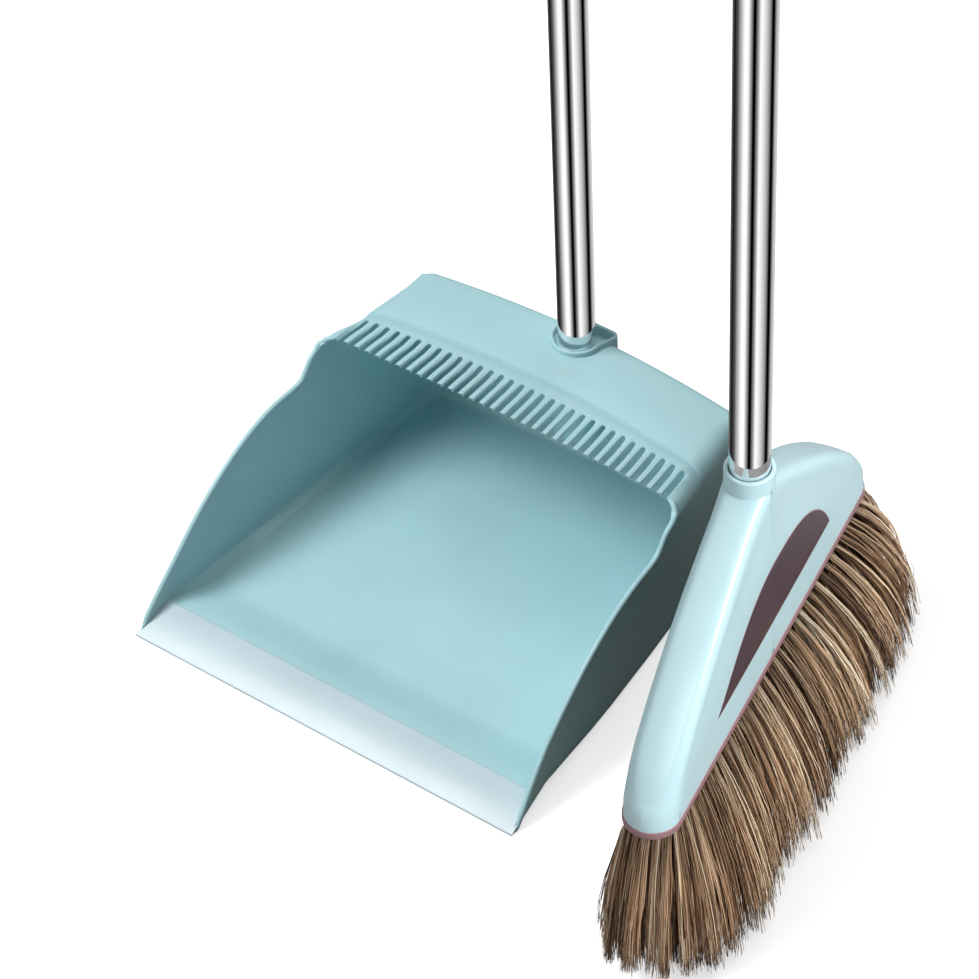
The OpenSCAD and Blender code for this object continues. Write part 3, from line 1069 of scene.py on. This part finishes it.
@dataclass
class TubeSocket:
    """The column at the pan's back that takes the tube, with its raised collar."""

    shell: PanShell
    front_r: float = 15.5
    tail: float = 15
    flare: float = 4.5
    rise: float = 4
    recess: float = 7
    wall: float = 2

    def outline(self) -> list[Point2]:
        """The column from above, round the tube's axis."""
        corner = 4.0
        x, y = self.front_r + self.flare - corner, self.tail - corner
        front = arc(0, 0, self.front_r, 180, 360, 28)
        return front + arc(x, y, corner, 0, 90, 5) + arc(-x, y, corner, 90, 180, 5)

    def build(self) -> bpy.types.Object:
        """Makes the column.

        Returns:
            The finished piece.
        """
        low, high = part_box("pan_tube")
        axis = (low + high) / 2 / MM
        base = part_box("pan_thread_plug")[0].z / MM - 1
        top = self.shell.hood_h - self.shell.hood_fall + self.rise
        bm = extruded([Vector((x, y, base)) for x, y in self.outline()], Vector((0, 0, top - base)))
        lid = max(bm.faces, key=lambda f: f.calc_center_median().z)
        bmesh.ops.inset_region(bm, faces=[lid], thickness=self.wall, use_even_offset=True)
        sunk = bmesh.ops.extrude_face_region(bm, geom=[lid])
        verts = [g for g in sunk["geom"] if isinstance(g, bmesh.types.BMVert)]
        bmesh.ops.translate(bm, verts=verts, vec=(0, 0, -self.recess))
        if lid.is_valid:
            bmesh.ops.delete(bm, geom=[lid], context="FACES_ONLY")
        closed_up(bm)
        soften(bm, self.wall * 0.42, 4, 60, lambda e: all(v.co.z > top - 0.1 for v in e.verts))
        obj = mesh_object("pan_tube_socket", bm, Matrix.Translation((axis.x, axis.y, 0)))
        return finish_piece(obj, Body.PAN, AQUA.material())


# ---------------------------------------------------------------- handles


@dataclass
class Handle:
    """One tube with its grip and its cap with a hanging eye."""

    prefix: str
    body: Body
    tube_wall: float = 0.5
    ribs: int = 7
    eye_d: float = 12
    eye_rim: float = 5
    eye_t: float = 8

    def axis(self) -> Vector:
        """Middle of the tube's lower end, in millimetres."""
        low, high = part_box(f"{self.prefix}_tube")
        return Vector(((low.x + high.x) / 2, (low.y + high.y) / 2, low.z)) / MM

    def tube(self) -> None:
        """The steel tube, with softly turned ends."""
        low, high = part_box(f"{self.prefix}_tube")
        r, length, t = (high.x - low.x) / 2 / MM, (high.z - low.z) / MM, self.tube_wall
        stations = [length * i / 12 for i in range(1, 12)]
        outer = [(r - 0.25, 0), (r - 0.08, 0.07), (r, 0.3), *[(r, z) for z in stations],
                 (r, length - 0.3), (r - 0.25, length)]
        inner = [(r - t, length), (r - t, 0), outer[0]]
        place = Matrix.Translation(self.axis())
        obj = mesh_object(f"{self.prefix}_steel_tube", turned(outer + inner, 96), place)
        finish_piece(obj, self.body, STEEL.material(), [f"{self.prefix}_tube"], 30)

    def grip(self) -> None:
        """The grip sleeve: a swelling body with a ribbed band between two shoulders."""
        low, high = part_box(f"{self.prefix}_grip")
        tube_low, tube_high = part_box(f"{self.prefix}_tube")
        r, length = (high.x - low.x) / 2 / MM, (high.z - low.z) / MM
        bore = (tube_high.x - tube_low.x) / 2 / MM + 0.05
        outer = [(bore, 0), *arc(r - 1.9, 1.6, 1.5, -90, -15, 5), (r - 0.3, 6)]
        band_low, band_high = length * 0.2, length * 0.8
        for i in range(self.ribs * 2):
            z = lerp(band_low, band_high, i / (self.ribs * 2 - 1))
            depth = 0.0 if i % 2 else 0.9
            outer += [(r - depth, z - 1.1), (r - depth, z + 1.1)]
        outer += [(r - 0.2, length - 6), *arc(r - 3, length - 3, 2.8, 5, 85, 6), (bore - 1.5, length)]
        ring = outer + [(bore - 1.5, length * 0.85), (bore, length * 0.82), (bore, 0)]
        bm = turned(ring, 72)
        soften(bm, 0.35, 2, 25)
        place = Matrix.Translation((self.axis().x, self.axis().y, low.z / MM))
        obj = mesh_object(f"{self.prefix}_grip_sleeve", bm, place)
        finish_piece(obj, self.body, AQUA.material(), [f"{self.prefix}_grip"], 50)

    def cap(self) -> None:
        """The cap: a turned plug, and a flat eye that grows out of it."""
        low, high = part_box(f"{self.prefix}_hanging_cap")
        grip_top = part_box(f"{self.prefix}_grip")[1].z / MM
        r = (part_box(f"{self.prefix}_grip")[1].x - self.axis().x * MM) / MM - 3
        ring_r = self.eye_d / 2 + self.eye_rim
        centre_z = high.z / MM - ring_r
        bottom = low.z / MM
        shank = [(0, bottom), (9, bottom), (9, grip_top - 0.4), (r, grip_top - 0.4), (r, grip_top + 1.2)]
        dome = [*arc(r - 1.8, grip_top + 1.2, 1.8, 0, 80, 5), (5, grip_top + 3.4), (0, grip_top + 3.4)]
        plug = turned(shank + dome, 64)
        outline = arc(0, centre_z, ring_r, -35, 215, 36)
        outline = [*outline, (-ring_r * 0.72, grip_top + 1.5), (ring_r * 0.72, grip_top + 1.5)]
        tab = extruded([Vector((x, -self.eye_t / 2, z)) for x, z in outline], Vector((0, self.eye_t, 0)))
        plate = mesh_object("scratch_tab", tab)
        drill = turned([(0, -20), (self.eye_d / 2, -20), (self.eye_d / 2, 20), (0, 20)], 48)
        hole = mesh_object("scratch_drill", drill,
                           Matrix.Translation((0, 0, centre_z)) @ Matrix.Rotation(math.pi / 2, 4, "X"))
        cut = plate.modifiers.new("eye", "BOOLEAN")
        cut.operation, cut.object, cut.solver = "DIFFERENCE", hole, "EXACT"
        settle(plate)
        eyed = bmesh.new()
        eyed.from_mesh(plate.data)
        for scratch in (plate, hole):
            bpy.data.objects.remove(scratch)
        bmesh.ops.transform(eyed, matrix=Matrix.Scale(1 / MM, 4), verts=eyed.verts)
        soften(eyed, 1.5, 4, 60)
        absorb(plug, eyed)
        place = Matrix.Translation((self.axis().x, self.axis().y, 0))
        obj = mesh_object(f"{self.prefix}_cap_with_eye", plug, place)
        finish_piece(obj, self.body, MAUVE.material(),
                     [f"{self.prefix}_hanging_cap"], 45)

    def build(self) -> None:
        """Makes the handle and dresses the parts inside it."""
        self.tube()
        self.grip()
        self.cap()
        for part in ("thread_plug", "tube_bung"):
            dress_node(f"{self.prefix}_{part}", MAUVE.material())


def dress_node(name: str, material: bpy.types.Material) -> None:
    """Gives a kept CAD node its finish.

    Args:
        name: The node.
        material: Its finish.
    """
    mesh = frame["nodes"][name].data
    mesh.materials.clear()
    mesh.materials.append(material)
    mesh.shade_smooth()
    mesh.set_sharp_from_angle(angle=math.radians(35))


# ---------------------------------------------------------------- broom


@dataclass
class BroomPlace:
    """Where the broom stands: its tube's axis and its heading."""

    heading: float = 101

    def matrix(self) -> Matrix:
        """From the head's own axes, X along it and Y away from its front, to the row's."""
        low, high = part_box("broom_tube")
        at = Vector(((low.x + high.x) / 2, (low.y + high.y) / 2, 0)) / MM
        return Matrix.Translation(at) @ Matrix.Rotation(math.radians(self.heading), 4, "Z")


@dataclass
class BroomHead:
    """The fan-shaped head: shell, socket rim, crescents, and the plate under it."""

    place: BroomPlace
    length: float = 286
    height: float = 128
    thick: float = 31
    top_thick: float = 24
    soft_r: float = 7
    socket_r: float = 13.6
    bore_r: float = 11.3
    rim_h: float = 133
    insert_half: float = 77
    insert_h: float = 42
    insert_rise: float = 26
    insert_depth: float = 1.2
    plate_t: float = 5
    base: float = field(default_factory=lambda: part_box("broom_head")[0].z / MM)

    def shoulder(self, t: float, near: bool) -> Vector:
        """Outline from the socket (t = 0) to the foot of the end (t = 1), above the base.

        Args:
            t: Share of the way.
            near: Whether it is the near shoulder, which is the straighter one.

        Returns:
            Distance along the head and height above its base.
        """
        end = self.length / 2
        if t > 0.86:
            a = (t - 0.86) / 0.14
            p, q, r = Vector((end - 4.6, 15.5)), Vector((end, 10)), Vector((end, 0))
            return p * (1 - a) ** 2 + q * 2 * a * (1 - a) + r * a * a
        t /= 0.86
        a, d = Vector((0.0, self.height)), Vector((end - 4.6, 15.5))
        b = Vector((end * 0.34, self.height * 0.82)) if near else Vector((end * 0.36, self.height * 0.75))
        c = Vector((end * 0.81, self.height * 0.41)) if near else Vector((end * 0.73, self.height * 0.46))
        return a * (1 - t) ** 3 + b * 3 * t * (1 - t) ** 2 + c * 3 * t * t * (1 - t) + d * t ** 3

    def half_thick(self, along: float, z: float) -> float:
        """Half thickness of the head at a place on its front.

        Args:
            along: Distance from the tube.
            z: Height above the base.

        Returns:
            Half the thickness.
        """
        share = z / self.height
        swell = 1.6 * math.exp(-((along / 17) ** 2)) * smooth(84, 126, z)
        crown = 1.1 * share * (1 - share) * 4 * (1 - (along / (self.length / 2)) ** 2)
        return lerp(self.thick, self.top_thick, share) / 2 + swell + crown

    def shell(self) -> bmesh.types.BMesh:
        """The closed fan, as one grid from base to base over the shoulders.

        Returns:
            The mesh, in the head's own axes.
        """
        across, soft, face = 64, 6, 14
        half_rows = 2 + soft + face

        def corner(i: int, j: int) -> Vector:
            """Place of a corner of the fan.

            Args:
                i: Column along the shoulders, from the near foot to the far one.
                j: Row from one face's base over the shoulder to the other's.

            Returns:
                The place, in the head's own axes.
            """
            sigma = i / across - 1
            t = abs(sigma)
            near = sigma < 0
            at, ahead = self.shoulder(min(t, 0.999), near), self.shoulder(min(t + 0.001, 1.0), near)
            tangent = (ahead - at).normalized()
            inward = Vector((tangent.y, -tangent.x))
            side = 1 if j >= half_rows else -1
            k = abs(j - half_rows)
            w_full = self.half_thick(at.x, at.y)
            r = lerp(self.soft_r, self.thick / 2, smooth(0.66, 0.98, t))
            r_w = min(r, w_full)
            flat = w_full - r_w
            if k <= 2:
                inset, w = -0.35 * (1 - (k / 2) ** 2) * (1 - smooth(0.66, 0.95, t)), flat * k / 2
            elif k <= 2 + soft:
                a = math.pi / 2 * (k - 2) / soft
                inset, w = r * (1 - math.cos(a)), flat + r_w * math.sin(a)
            else:
                inset, w = r, w_full
            p = at + inward * inset
            p.x, p.y = min(p.x, self.length / 2 - inset), max(p.y, 0.0)
            if k > 2 + soft:
                share = (k - 2 - soft) / face
                p.y = lerp(p.y, 0, share)
                w = lerp(w, self.half_thick(p.x, p.y), smooth(0, 0.3, share))
                w = min(w, self.half_thick(p.x, p.y))
            return Vector((math.copysign(1, sigma) * p.x, side * w, p.y + self.base))

        bm = bmesh.new()
        patch(bm, across * 2, half_rows * 2, corner)
        bmesh.ops.remove_doubles(bm, verts=bm.verts, dist=0.05)
        rim = [e for e in bm.edges if e.is_boundary]
        grown = bmesh.ops.extrude_edge_only(bm, edges=rim)["geom"]
        base = [g for g in grown if isinstance(g, bmesh.types.BMVert)]
        bmesh.ops.pointmerge(bm, verts=base, merge_co=(0, 0, self.base))
        closed_up(bm, 0.01)
        return bm

    def crescent(self, grow: float, proud: float, depth: float, turn: float) -> bmesh.types.BMesh:
        """The crescent as a slab that follows the head's face.

        Args:
            grow: How far its outline is moved outwards.
            proud: How far its outer face stands proud of the head's face.
            depth: Its thickness.
            turn: Turn about the tube's axis, in degrees.

        Returns:
            The slab's mesh, in the head's own axes.
        """
        half, rise, foot = self.insert_half + grow, self.insert_h + 1.6 * grow, self.insert_rise - grow

        def outer(i: int, j: int) -> Vector:
            """Place of a corner: i along the crescent, j from its foot to its crown."""
            s = -math.cos(math.pi * i / 40)
            bulge = max(0.0, 1 - s * s) ** 1.15 if s < 0 else max(0.0, 1 - s ** 3) ** 0.85
            z = foot + rise * bulge * j / 6
            return Vector((half * s, -self.half_thick(half * s, z) - proud, z + self.base))

        bm = bmesh.new()
        patch(bm, 40, 6, outer)
        bmesh.ops.remove_doubles(bm, verts=bm.verts, dist=1e-3)
        grown = bmesh.ops.extrude_face_region(bm, geom=bm.faces[:], use_keep_orig=True)
        verts = [g for g in grown["geom"] if isinstance(g, bmesh.types.BMVert)]
        bmesh.ops.translate(bm, verts=verts, vec=(0, depth, 0))
        closed_up(bm)
        bmesh.ops.transform(bm, matrix=Matrix.Rotation(math.radians(turn), 4, "Z"), verts=bm.verts)
        return bm

    def build(self) -> None:
        """Makes the head's pieces."""
        place = self.place.matrix()
        head = mesh_object("broom_fan_head", self.shell(), place)
        finish_piece(head, Body.BROOM, PALE_AQUA.material(), ["broom_head"], 38)
        for name, turn in (("front", 0), ("back", 180)):
            seat = self.crescent(0.85, 0.12, 1.3, turn)
            soften(seat, 0.3, 2, 50)
            rim = mesh_object(f"broom_crescent_edge_{name}", seat, place)
            finish_piece(rim, Body.BROOM, MAUVE.material())
            # Painted shade: the inlay takes the darkened mauve, standing for the shade inside a recess.
            inlay = self.crescent(-0.4, 0.34, self.insert_depth, turn)
            soften(inlay, 0.4, 3, 50)
            obj = mesh_object(f"broom_crescent_{name}", inlay, place)
            finish_piece(obj, Body.BROOM, MAUVE_PAINTED_SHADE.material(), [f"insert_{name}"])
        r, b, top = self.socket_r, self.bore_r, self.base + self.rim_h
        wall = [(b, top - 30), (r, top - 30), *arc(r - 1.1, top - 1.1, 1.1, 0, 90, 5),
                *arc(b + 0.7, top - 0.7, 0.7, 90, 180, 4), (b, top - 30)]
        ring = mesh_object("broom_socket_rim", turned(wall, 72), place)
        finish_piece(ring, Body.BROOM, PALE_AQUA.material())
        self.plate(place)

    def plate(self, place: Matrix) -> None:
        """The tuft plate under the head, with rounded edges.

        Args:
            place: Where the head stands.
        """
        r, half = self.thick / 2 + 0.5, self.length / 2 + 0.5
        outline = arc(half - r, 0, r, -90, 90, 20) + arc(-half + r, 0, r, 90, 270, 20)
        bottom = self.base - self.plate_t
        bm = extruded([Vector((x, y, bottom)) for x, y in outline], Vector((0, 0, self.plate_t + 0.4)))
        soften(bm, 1.2, 4, 60)
        obj = mesh_object("broom_tuft_plate", bm, place)
        finish_piece(obj, Body.BROOM, MAUVE.material(), ["tuft_plate"])


@dataclass
class Bristles:
    """Rows of tufts: each tuft parts into locks, and each lock into tapered hairs."""

    place: BroomPlace
    rows: int = 5
    tufts: int = 36
    locks: int = 7
    hairs: int = 11
    field_half: float = 137
    row_gap: float = 5.2
    foot_l: float = 161
    foot_w: float = 44.5
    foot_back: float = 31
    far_flare: float = 17
    root_r: float = 2.1
    hair_r: float = 0.3
    rings: int = 7
    seed: int = 11
    lock_drift: tuple[float, float] = (2.0, 1.6)
    lock_tone_spread: float = 0.2
    hair_tone_spread: float = 0.22
    bow: tuple[float, float, float] = (0.84, 0.84, 0.45)
    lowest: float = 0.15
    top: float = field(default_factory=lambda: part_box("tuft_plate")[0].z / MM)

    def hair_template(self) -> tuple[np.ndarray, np.ndarray, np.ndarray]:
        """One tapered hair made with mesh operators: its corners, faces and share along it.

        Returns:
            Corners across it, faces, and the share along it of each corner.
        """
        bm = bmesh.new()
        ring = bmesh.ops.create_circle(bm, segments=3, radius=1, cap_ends=False)["verts"]
        edges = [e for e in bm.edges]
        for i in range(1, self.rings):
            grown = bmesh.ops.extrude_edge_only(bm, edges=edges)["geom"]
            verts = [g for g in grown if isinstance(g, bmesh.types.BMVert)]
            edges = [g for g in grown if isinstance(g, bmesh.types.BMEdge)]
            bmesh.ops.translate(bm, verts=verts, vec=(0, 0, 1))
        bmesh.ops.contextual_create(bm, geom=edges)
        bmesh.ops.contextual_create(bm, geom=[e for e in bm.edges if e.is_boundary])
        bmesh.ops.recalc_face_normals(bm, faces=bm.faces)
        bmesh.ops.triangulate(bm, faces=bm.faces)
        bm.verts.index_update()
        corners = np.array([v.co for v in bm.verts])
        faces = np.array([[v.index for v in f.verts] for f in bm.faces])
        bm.free()
        along = corners[:, 2] / (self.rings - 1)
        return corners[:, :2], faces, along

    def roots(self, row: int, rng: np.random.Generator) -> tuple[np.ndarray, ...]:
        """Where one row's hairs start and end, and how they differ.

        Args:
            row: The row, from the front.
            rng: Source of the hairs' differences.

        Returns:
            Roots, tips, tone and thickness, one line for each hair.
        """
        w0 = (row - (self.rows - 1) / 2) * self.row_gap
        half = self.field_half - 12 * (1 - math.sqrt(1 - (w0 / 13) ** 2))
        shift = 0.25 if row % 2 else -0.25
        starts, ends, tones, widths = [], [], [], []
        for tuft in range(self.tufts):
            share = (tuft + 0.5 + shift) / self.tufts * 2 - 1
            centre = np.array([half * share, w0])
            tuft_tone = rng.normal(0, 0.05)
            for _ in range(self.locks):
                drift = rng.normal(0, 1, 2) * np.array(self.lock_drift)
                lock_tone = rng.normal(0, self.lock_tone_spread) + tuft_tone
                lock_at = rng.normal(0, 0.8, 2)
                lock_long = rng.normal(0, 1.6)
                for _ in range(self.hairs):
                    root = centre + np.clip(lock_at + rng.normal(0, 0.6, 2), -self.root_r, self.root_r)
                    out = (root[0] / half, root[1] / (self.row_gap * (self.rows - 1) / 2))
                    narrow = 0.95 * abs(out[0]) ** (6 if out[1] < 0 else 4)
                    reach = self.foot_l if out[0] < 0 else self.foot_l + self.far_flare
                    spread = self.foot_w if out[1] < 0 else self.foot_back
                    tip = np.array([reach * out[0] * 0.985,
                                    spread * out[1] * math.sqrt(max(0.16, 1 - min(1, narrow)))])
                    tip += drift + rng.normal(0, 0.7, 2)
                    rise = abs(rng.normal(0, 1.8)) + 0.6 + 5.5 * abs(share) ** 6 + max(0.0, lock_long)
                    starts.append([*root, self.top + 0.5])
                    ends.append([*tip, rise])
                    hair_tone = 0.5 + lock_tone + rng.normal(0, self.hair_tone_spread)
                    tones.append(np.clip(hair_tone, 0, 1))
                    widths.append(self.hair_r * rng.uniform(0.75, 1.2))
        return np.array(starts), np.array(ends), np.array(tones), np.array(widths)

    def row_mesh(self, row: int) -> bpy.types.Object:
        """One row of hairs as a mesh in the head's own axes.

        Args:
            row: The row, from the front.

        Returns:
            The row's object, placed.
        """
        rng = np.random.default_rng(self.seed + row)
        around, faces, along = self.hair_template()
        start, end, tone, width = self.roots(row, rng)
        count = len(start)
        far = np.clip(start[:, :1] / self.field_half, 0, 1) ** 2
        bow = start + (end - start) * (np.array(self.bow) + far * np.array([0.05, 0.05, 0.0]))
        swing = rng.normal(0, 1, (count, 2)) * 0.9
        phase = rng.uniform(0, math.tau, count)
        t = along[None, :, None]
        line = start[:, None] * (1 - t) ** 2 + bow[:, None] * 2 * t * (1 - t) + end[:, None] * t * t
        wave = np.sin(math.tau * 1.3 * along[None] + phase[:, None]) * along[None]
        line[:, :, :2] += wave[:, :, None] * swing[:, None]
        taper = width[:, None] * (1 - 0.5 * along[None] ** 2)
        line[:, :, :2] += around[None] * taper[:, :, None]
        line[:, :, 2] = np.maximum(line[:, :, 2], self.lowest)
        corners = line.reshape(-1, 3)
        loops = (faces[None] + np.arange(count)[:, None, None] * len(along)).reshape(-1, 3)
        mesh = bpy.data.meshes.new(f"bristle_tufts_{row + 1}")
        mesh.from_pydata(corners.tolist(), [], loops.tolist())
        mesh.transform(Matrix.Scale(MM, 4) @ self.place.matrix())
        shades = {"hair_tone": np.repeat(tone, len(along)), "hair_along": np.tile(along, count)}
        for name, values in shades.items():
            mesh.attributes.new(name, "FLOAT", "POINT").data.foreach_set("value", values.astype(np.float32))
        obj = bpy.data.objects.new(mesh.name, mesh)
        bpy.context.scene.collection.objects.link(obj)
        return obj

    def build(self) -> None:
        """Makes every row."""
        for row in range(self.rows):
            obj = self.row_mesh(row)
            finish_piece(obj, Body.BROOM, HAIR.material(), [f"bristle_row_{row + 1}"], 180)


# ---------------------------------------------------------------- studio


@dataclass
class Studio:
    """Pale floor, soft lights, the reflection strips round the tubes, and the camera."""

    aim: tuple[float, float, float] = (0.0225, 0.0073, 0.0924)
    azimuth: float = 37.9
    elevation: float = 45.4
    roll: float = -2.8
    distance: float = 2.338
    lens: float = 154.3

    def axes(self) -> tuple[Vector, Vector, Vector]:
        """The camera's right, up and forward directions.

        Returns:
            The three directions, one unit long.
        """
        a, e = math.radians(-self.azimuth), math.radians(self.elevation)
        right, ground = Vector((math.cos(a), -math.sin(a), 0)), Vector((math.sin(a), math.cos(a), 0))
        forward = ground * math.cos(e) - Vector((0, 0, math.sin(e)))
        up = ground * math.sin(e) + Vector((0, 0, math.cos(e)))
        c, s = math.cos(math.radians(self.roll)), math.sin(math.radians(self.roll))
        return right * c + up * s, up * c - right * s, forward

    def camera(self) -> None:
        """The camera, at the viewing angle of the set."""
        right, up, forward = self.axes()
        data = bpy.data.cameras.new("camera")
        data.lens, data.sensor_width, data.dof.use_dof = self.lens, 36, False
        data.clip_start, data.clip_end = 0.1, 30
        obj = bpy.data.objects.new("camera", data)
        turn = Matrix((right, up, -forward)).transposed().to_4x4()
        obj.matrix_world = Matrix.Translation(Vector(self.aim) - forward * self.distance) @ turn
        bpy.context.scene.collection.objects.link(obj)
        bpy.context.scene.camera = obj

    def light(self, name: str, place: Vector, target: Vector, size: tuple[float, float],
              power: float) -> bpy.types.Object:
        """A soft rectangular light that faces a target.

        Args:
            name: Its name.
            place, target: Where it stands and what it faces, in metres.
            size: Its two sides, in metres.
            power: Its power, in watts.

        Returns:
            The light.
        """
        data = bpy.data.lights.new(name, "AREA")
        data.shape, data.size, data.size_y, data.energy = "RECTANGLE", *size, power
        obj = bpy.data.objects.new(name, data)
        facing = (target - place).to_track_quat("-Z", "Y").to_matrix().to_4x4()
        obj.matrix_world = Matrix.Translation(place) @ facing
        bpy.context.scene.collection.objects.link(obj)
        return obj

    def share_light(self) -> None:
        """Lights the broom from the right and the rest from the left.

        The pan's outer side stays in shade that way, while the broom's face is bright.
        """
        broom, rest = (bpy.data.collections.new(name) for name in ("lit_broom", "lit_rest"))
        for obj in bpy.context.scene.objects:
            if obj.type == "MESH":
                (broom if obj.name.startswith(("broom_", "bristle_")) else rest).objects.link(obj)
        target = Vector((0.15, 0.0, 0.1))
        key = self.light("key_softbox", Vector((-1.0, -0.8, 2.0)), target, (0.9, 0.9), 42)
        fill = self.light("front_softbox", Vector((-0.7, -2.2, 0.7)), target, (1.0, 0.8), 9)
        key.light_linking.receiver_collection = fill.light_linking.receiver_collection = rest
        for name, place, power in (("broom_right_softbox", Vector((2.2, 0.1, 1.4)), 53),
                                   ("broom_front_softbox", Vector((0.6, -1.6, 1.3)), 11)):
            self.light(name, place, target, (0.9, 0.9), power).light_linking.receiver_collection = broom

    def floor(self) -> None:
        """A white floor that stays pale under the set."""
        bm = bmesh.new()
        bmesh.ops.create_grid(bm, x_segments=8, y_segments=8, size=6000)
        floor = mesh_object("studio_floor", bm, Matrix.Translation((0, 0, -0.3)))
        material, tree, shader = shader_tree("studio_floor_white")
        shader.inputs["Base Color"].default_value = (0.92, 0.92, 0.92, 1)
        shader.inputs["Roughness"].default_value = 1
        shader.inputs["Specular IOR Level"].default_value = 0
        shader.inputs["Emission Color"].default_value = (1, 1, 1, 1)
        shader.inputs["Emission Strength"].default_value = 0.62
        dim, mix = tree.nodes.new("ShaderNodeBsdfDiffuse"), tree.nodes.new("ShaderNodeMixShader")
        dim.inputs["Color"].default_value = (0.4, 0.4, 0.4, 1)
        seen = tree.nodes.new("ShaderNodeLightPath")
        tree.links.new(seen.outputs["Is Camera Ray"], mix.inputs[0])
        tree.links.new(dim.outputs[0], mix.inputs[1])
        tree.links.new(shader.outputs[0], mix.inputs[2])
        tree.links.new(mix.outputs[0], tree.nodes["Material Output"].inputs["Surface"])
        floor.data.materials.append(material)

    def strips(self) -> None:
        """Bright and dark strips round each tube, which only polished metal mirrors."""
        tube_r, tent_r = 11.0, 17.0
        tone_across = (
            (0.0, 0.25), (0.05, 0.0), (0.11, 0.1), (0.18, 0.6), (0.25, 1.2), (0.31, 1.2),
            (0.37, 0.4), (0.42, 0.0), (0.47, 0.0), (0.53, 0.4), (0.58, 1.2), (0.64, 1.0),
            (0.76, 0.4), (0.82, 0.0), (0.87, 0.0), (0.93, 0.6), (1.0, 0.95))
        facing = math.atan2(-self.axes()[2].y, -self.axes()[2].x)
        marks = []
        for share, tone in tone_across:
            phi = math.asin(2 * share - 1)
            seen = 2 * phi - math.asin(tube_r / tent_r * math.sin(phi))
            marks.append((seen, tone))
        marks.sort()
        for name, foot in (("pan_tube", 109.0), ("broom_tube", 238.0)):
            low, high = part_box(name)
            axis = Vector(((low.x + high.x) / 2, (low.y + high.y) / 2, 0)) / MM
            bm = bmesh.new()
            tones = bm.loops.layers.float_color.new("strip_tone")
            steps = 180
            made = patch(bm, steps, 1, lambda i, j: Vector((
                tent_r * math.cos(facing + math.tau * (i / steps - 0.5)),
                tent_r * math.sin(facing + math.tau * (i / steps - 0.5)), foot if j == 0 else 1300.0)))
            values = {vert: float(np.interp(math.tau * (i / steps - 0.5), [m[0] for m in marks],
                                            [m[1] for m in marks])) for vert, i, j in made}
            for face in bm.faces:
                for loop in face.loops:
                    loop[tones] = (values[loop.vert],) * 3 + (1,)
            obj = mesh_object(f"studio_strips_{name}", bm, Matrix.Translation(axis))
            material = bpy.data.materials.new(f"studio_strips_{name}")
            material.use_nodes = True
            tree = material.node_tree
            tree.nodes.clear()
            tone = tree.nodes.new("ShaderNodeAttribute")
            tone.attribute_name = "strip_tone"
            glow, out = tree.nodes.new("ShaderNodeEmission"), tree.nodes.new("ShaderNodeOutputMaterial")
            tree.links.new(tone.outputs["Color"], glow.inputs["Color"])
            tree.links.new(glow.outputs[0], out.inputs["Surface"])
            obj.data.materials.append(material)
            obj.visible_camera = obj.visible_diffuse = False
            obj.visible_shadow = obj.visible_transmission = False

    def build(self) -> None:
        """Sets up the studio."""
        self.camera()
        self.floor()
        self.strips()
        target = Vector((0.05, 0.0, 0.1))
        self.light("top_softbox", Vector((0.1, 0.7, 2.1)), target, (1.6, 1.6), 16)
        world = bpy.data.worlds.new("studio_air")
        world.use_nodes = True
        back = world.node_tree.nodes["Background"]
        back.inputs["Color"].default_value, back.inputs["Strength"].default_value = (1, 1, 1, 1), 0.12
        bpy.context.scene.world = world
        bpy.context.scene.view_settings.view_transform = "Standard"


def main() -> None:
    """Builds the set, piece by piece."""
    studio = Studio()
    studio.build()
    shell = PanShell()
    shell.build()
    SweepingLip(shell).build()
    TubeSocket(shell).build()
    place = BroomPlace()
    BroomHead(place).build()
    Bristles(place).build()
    Handle("pan", Body.PAN_HANDLE).build()
    Handle("broom", Body.BROOM_HANDLE).build()
    studio.share_light()


if __name__ == "__main__":
    main()
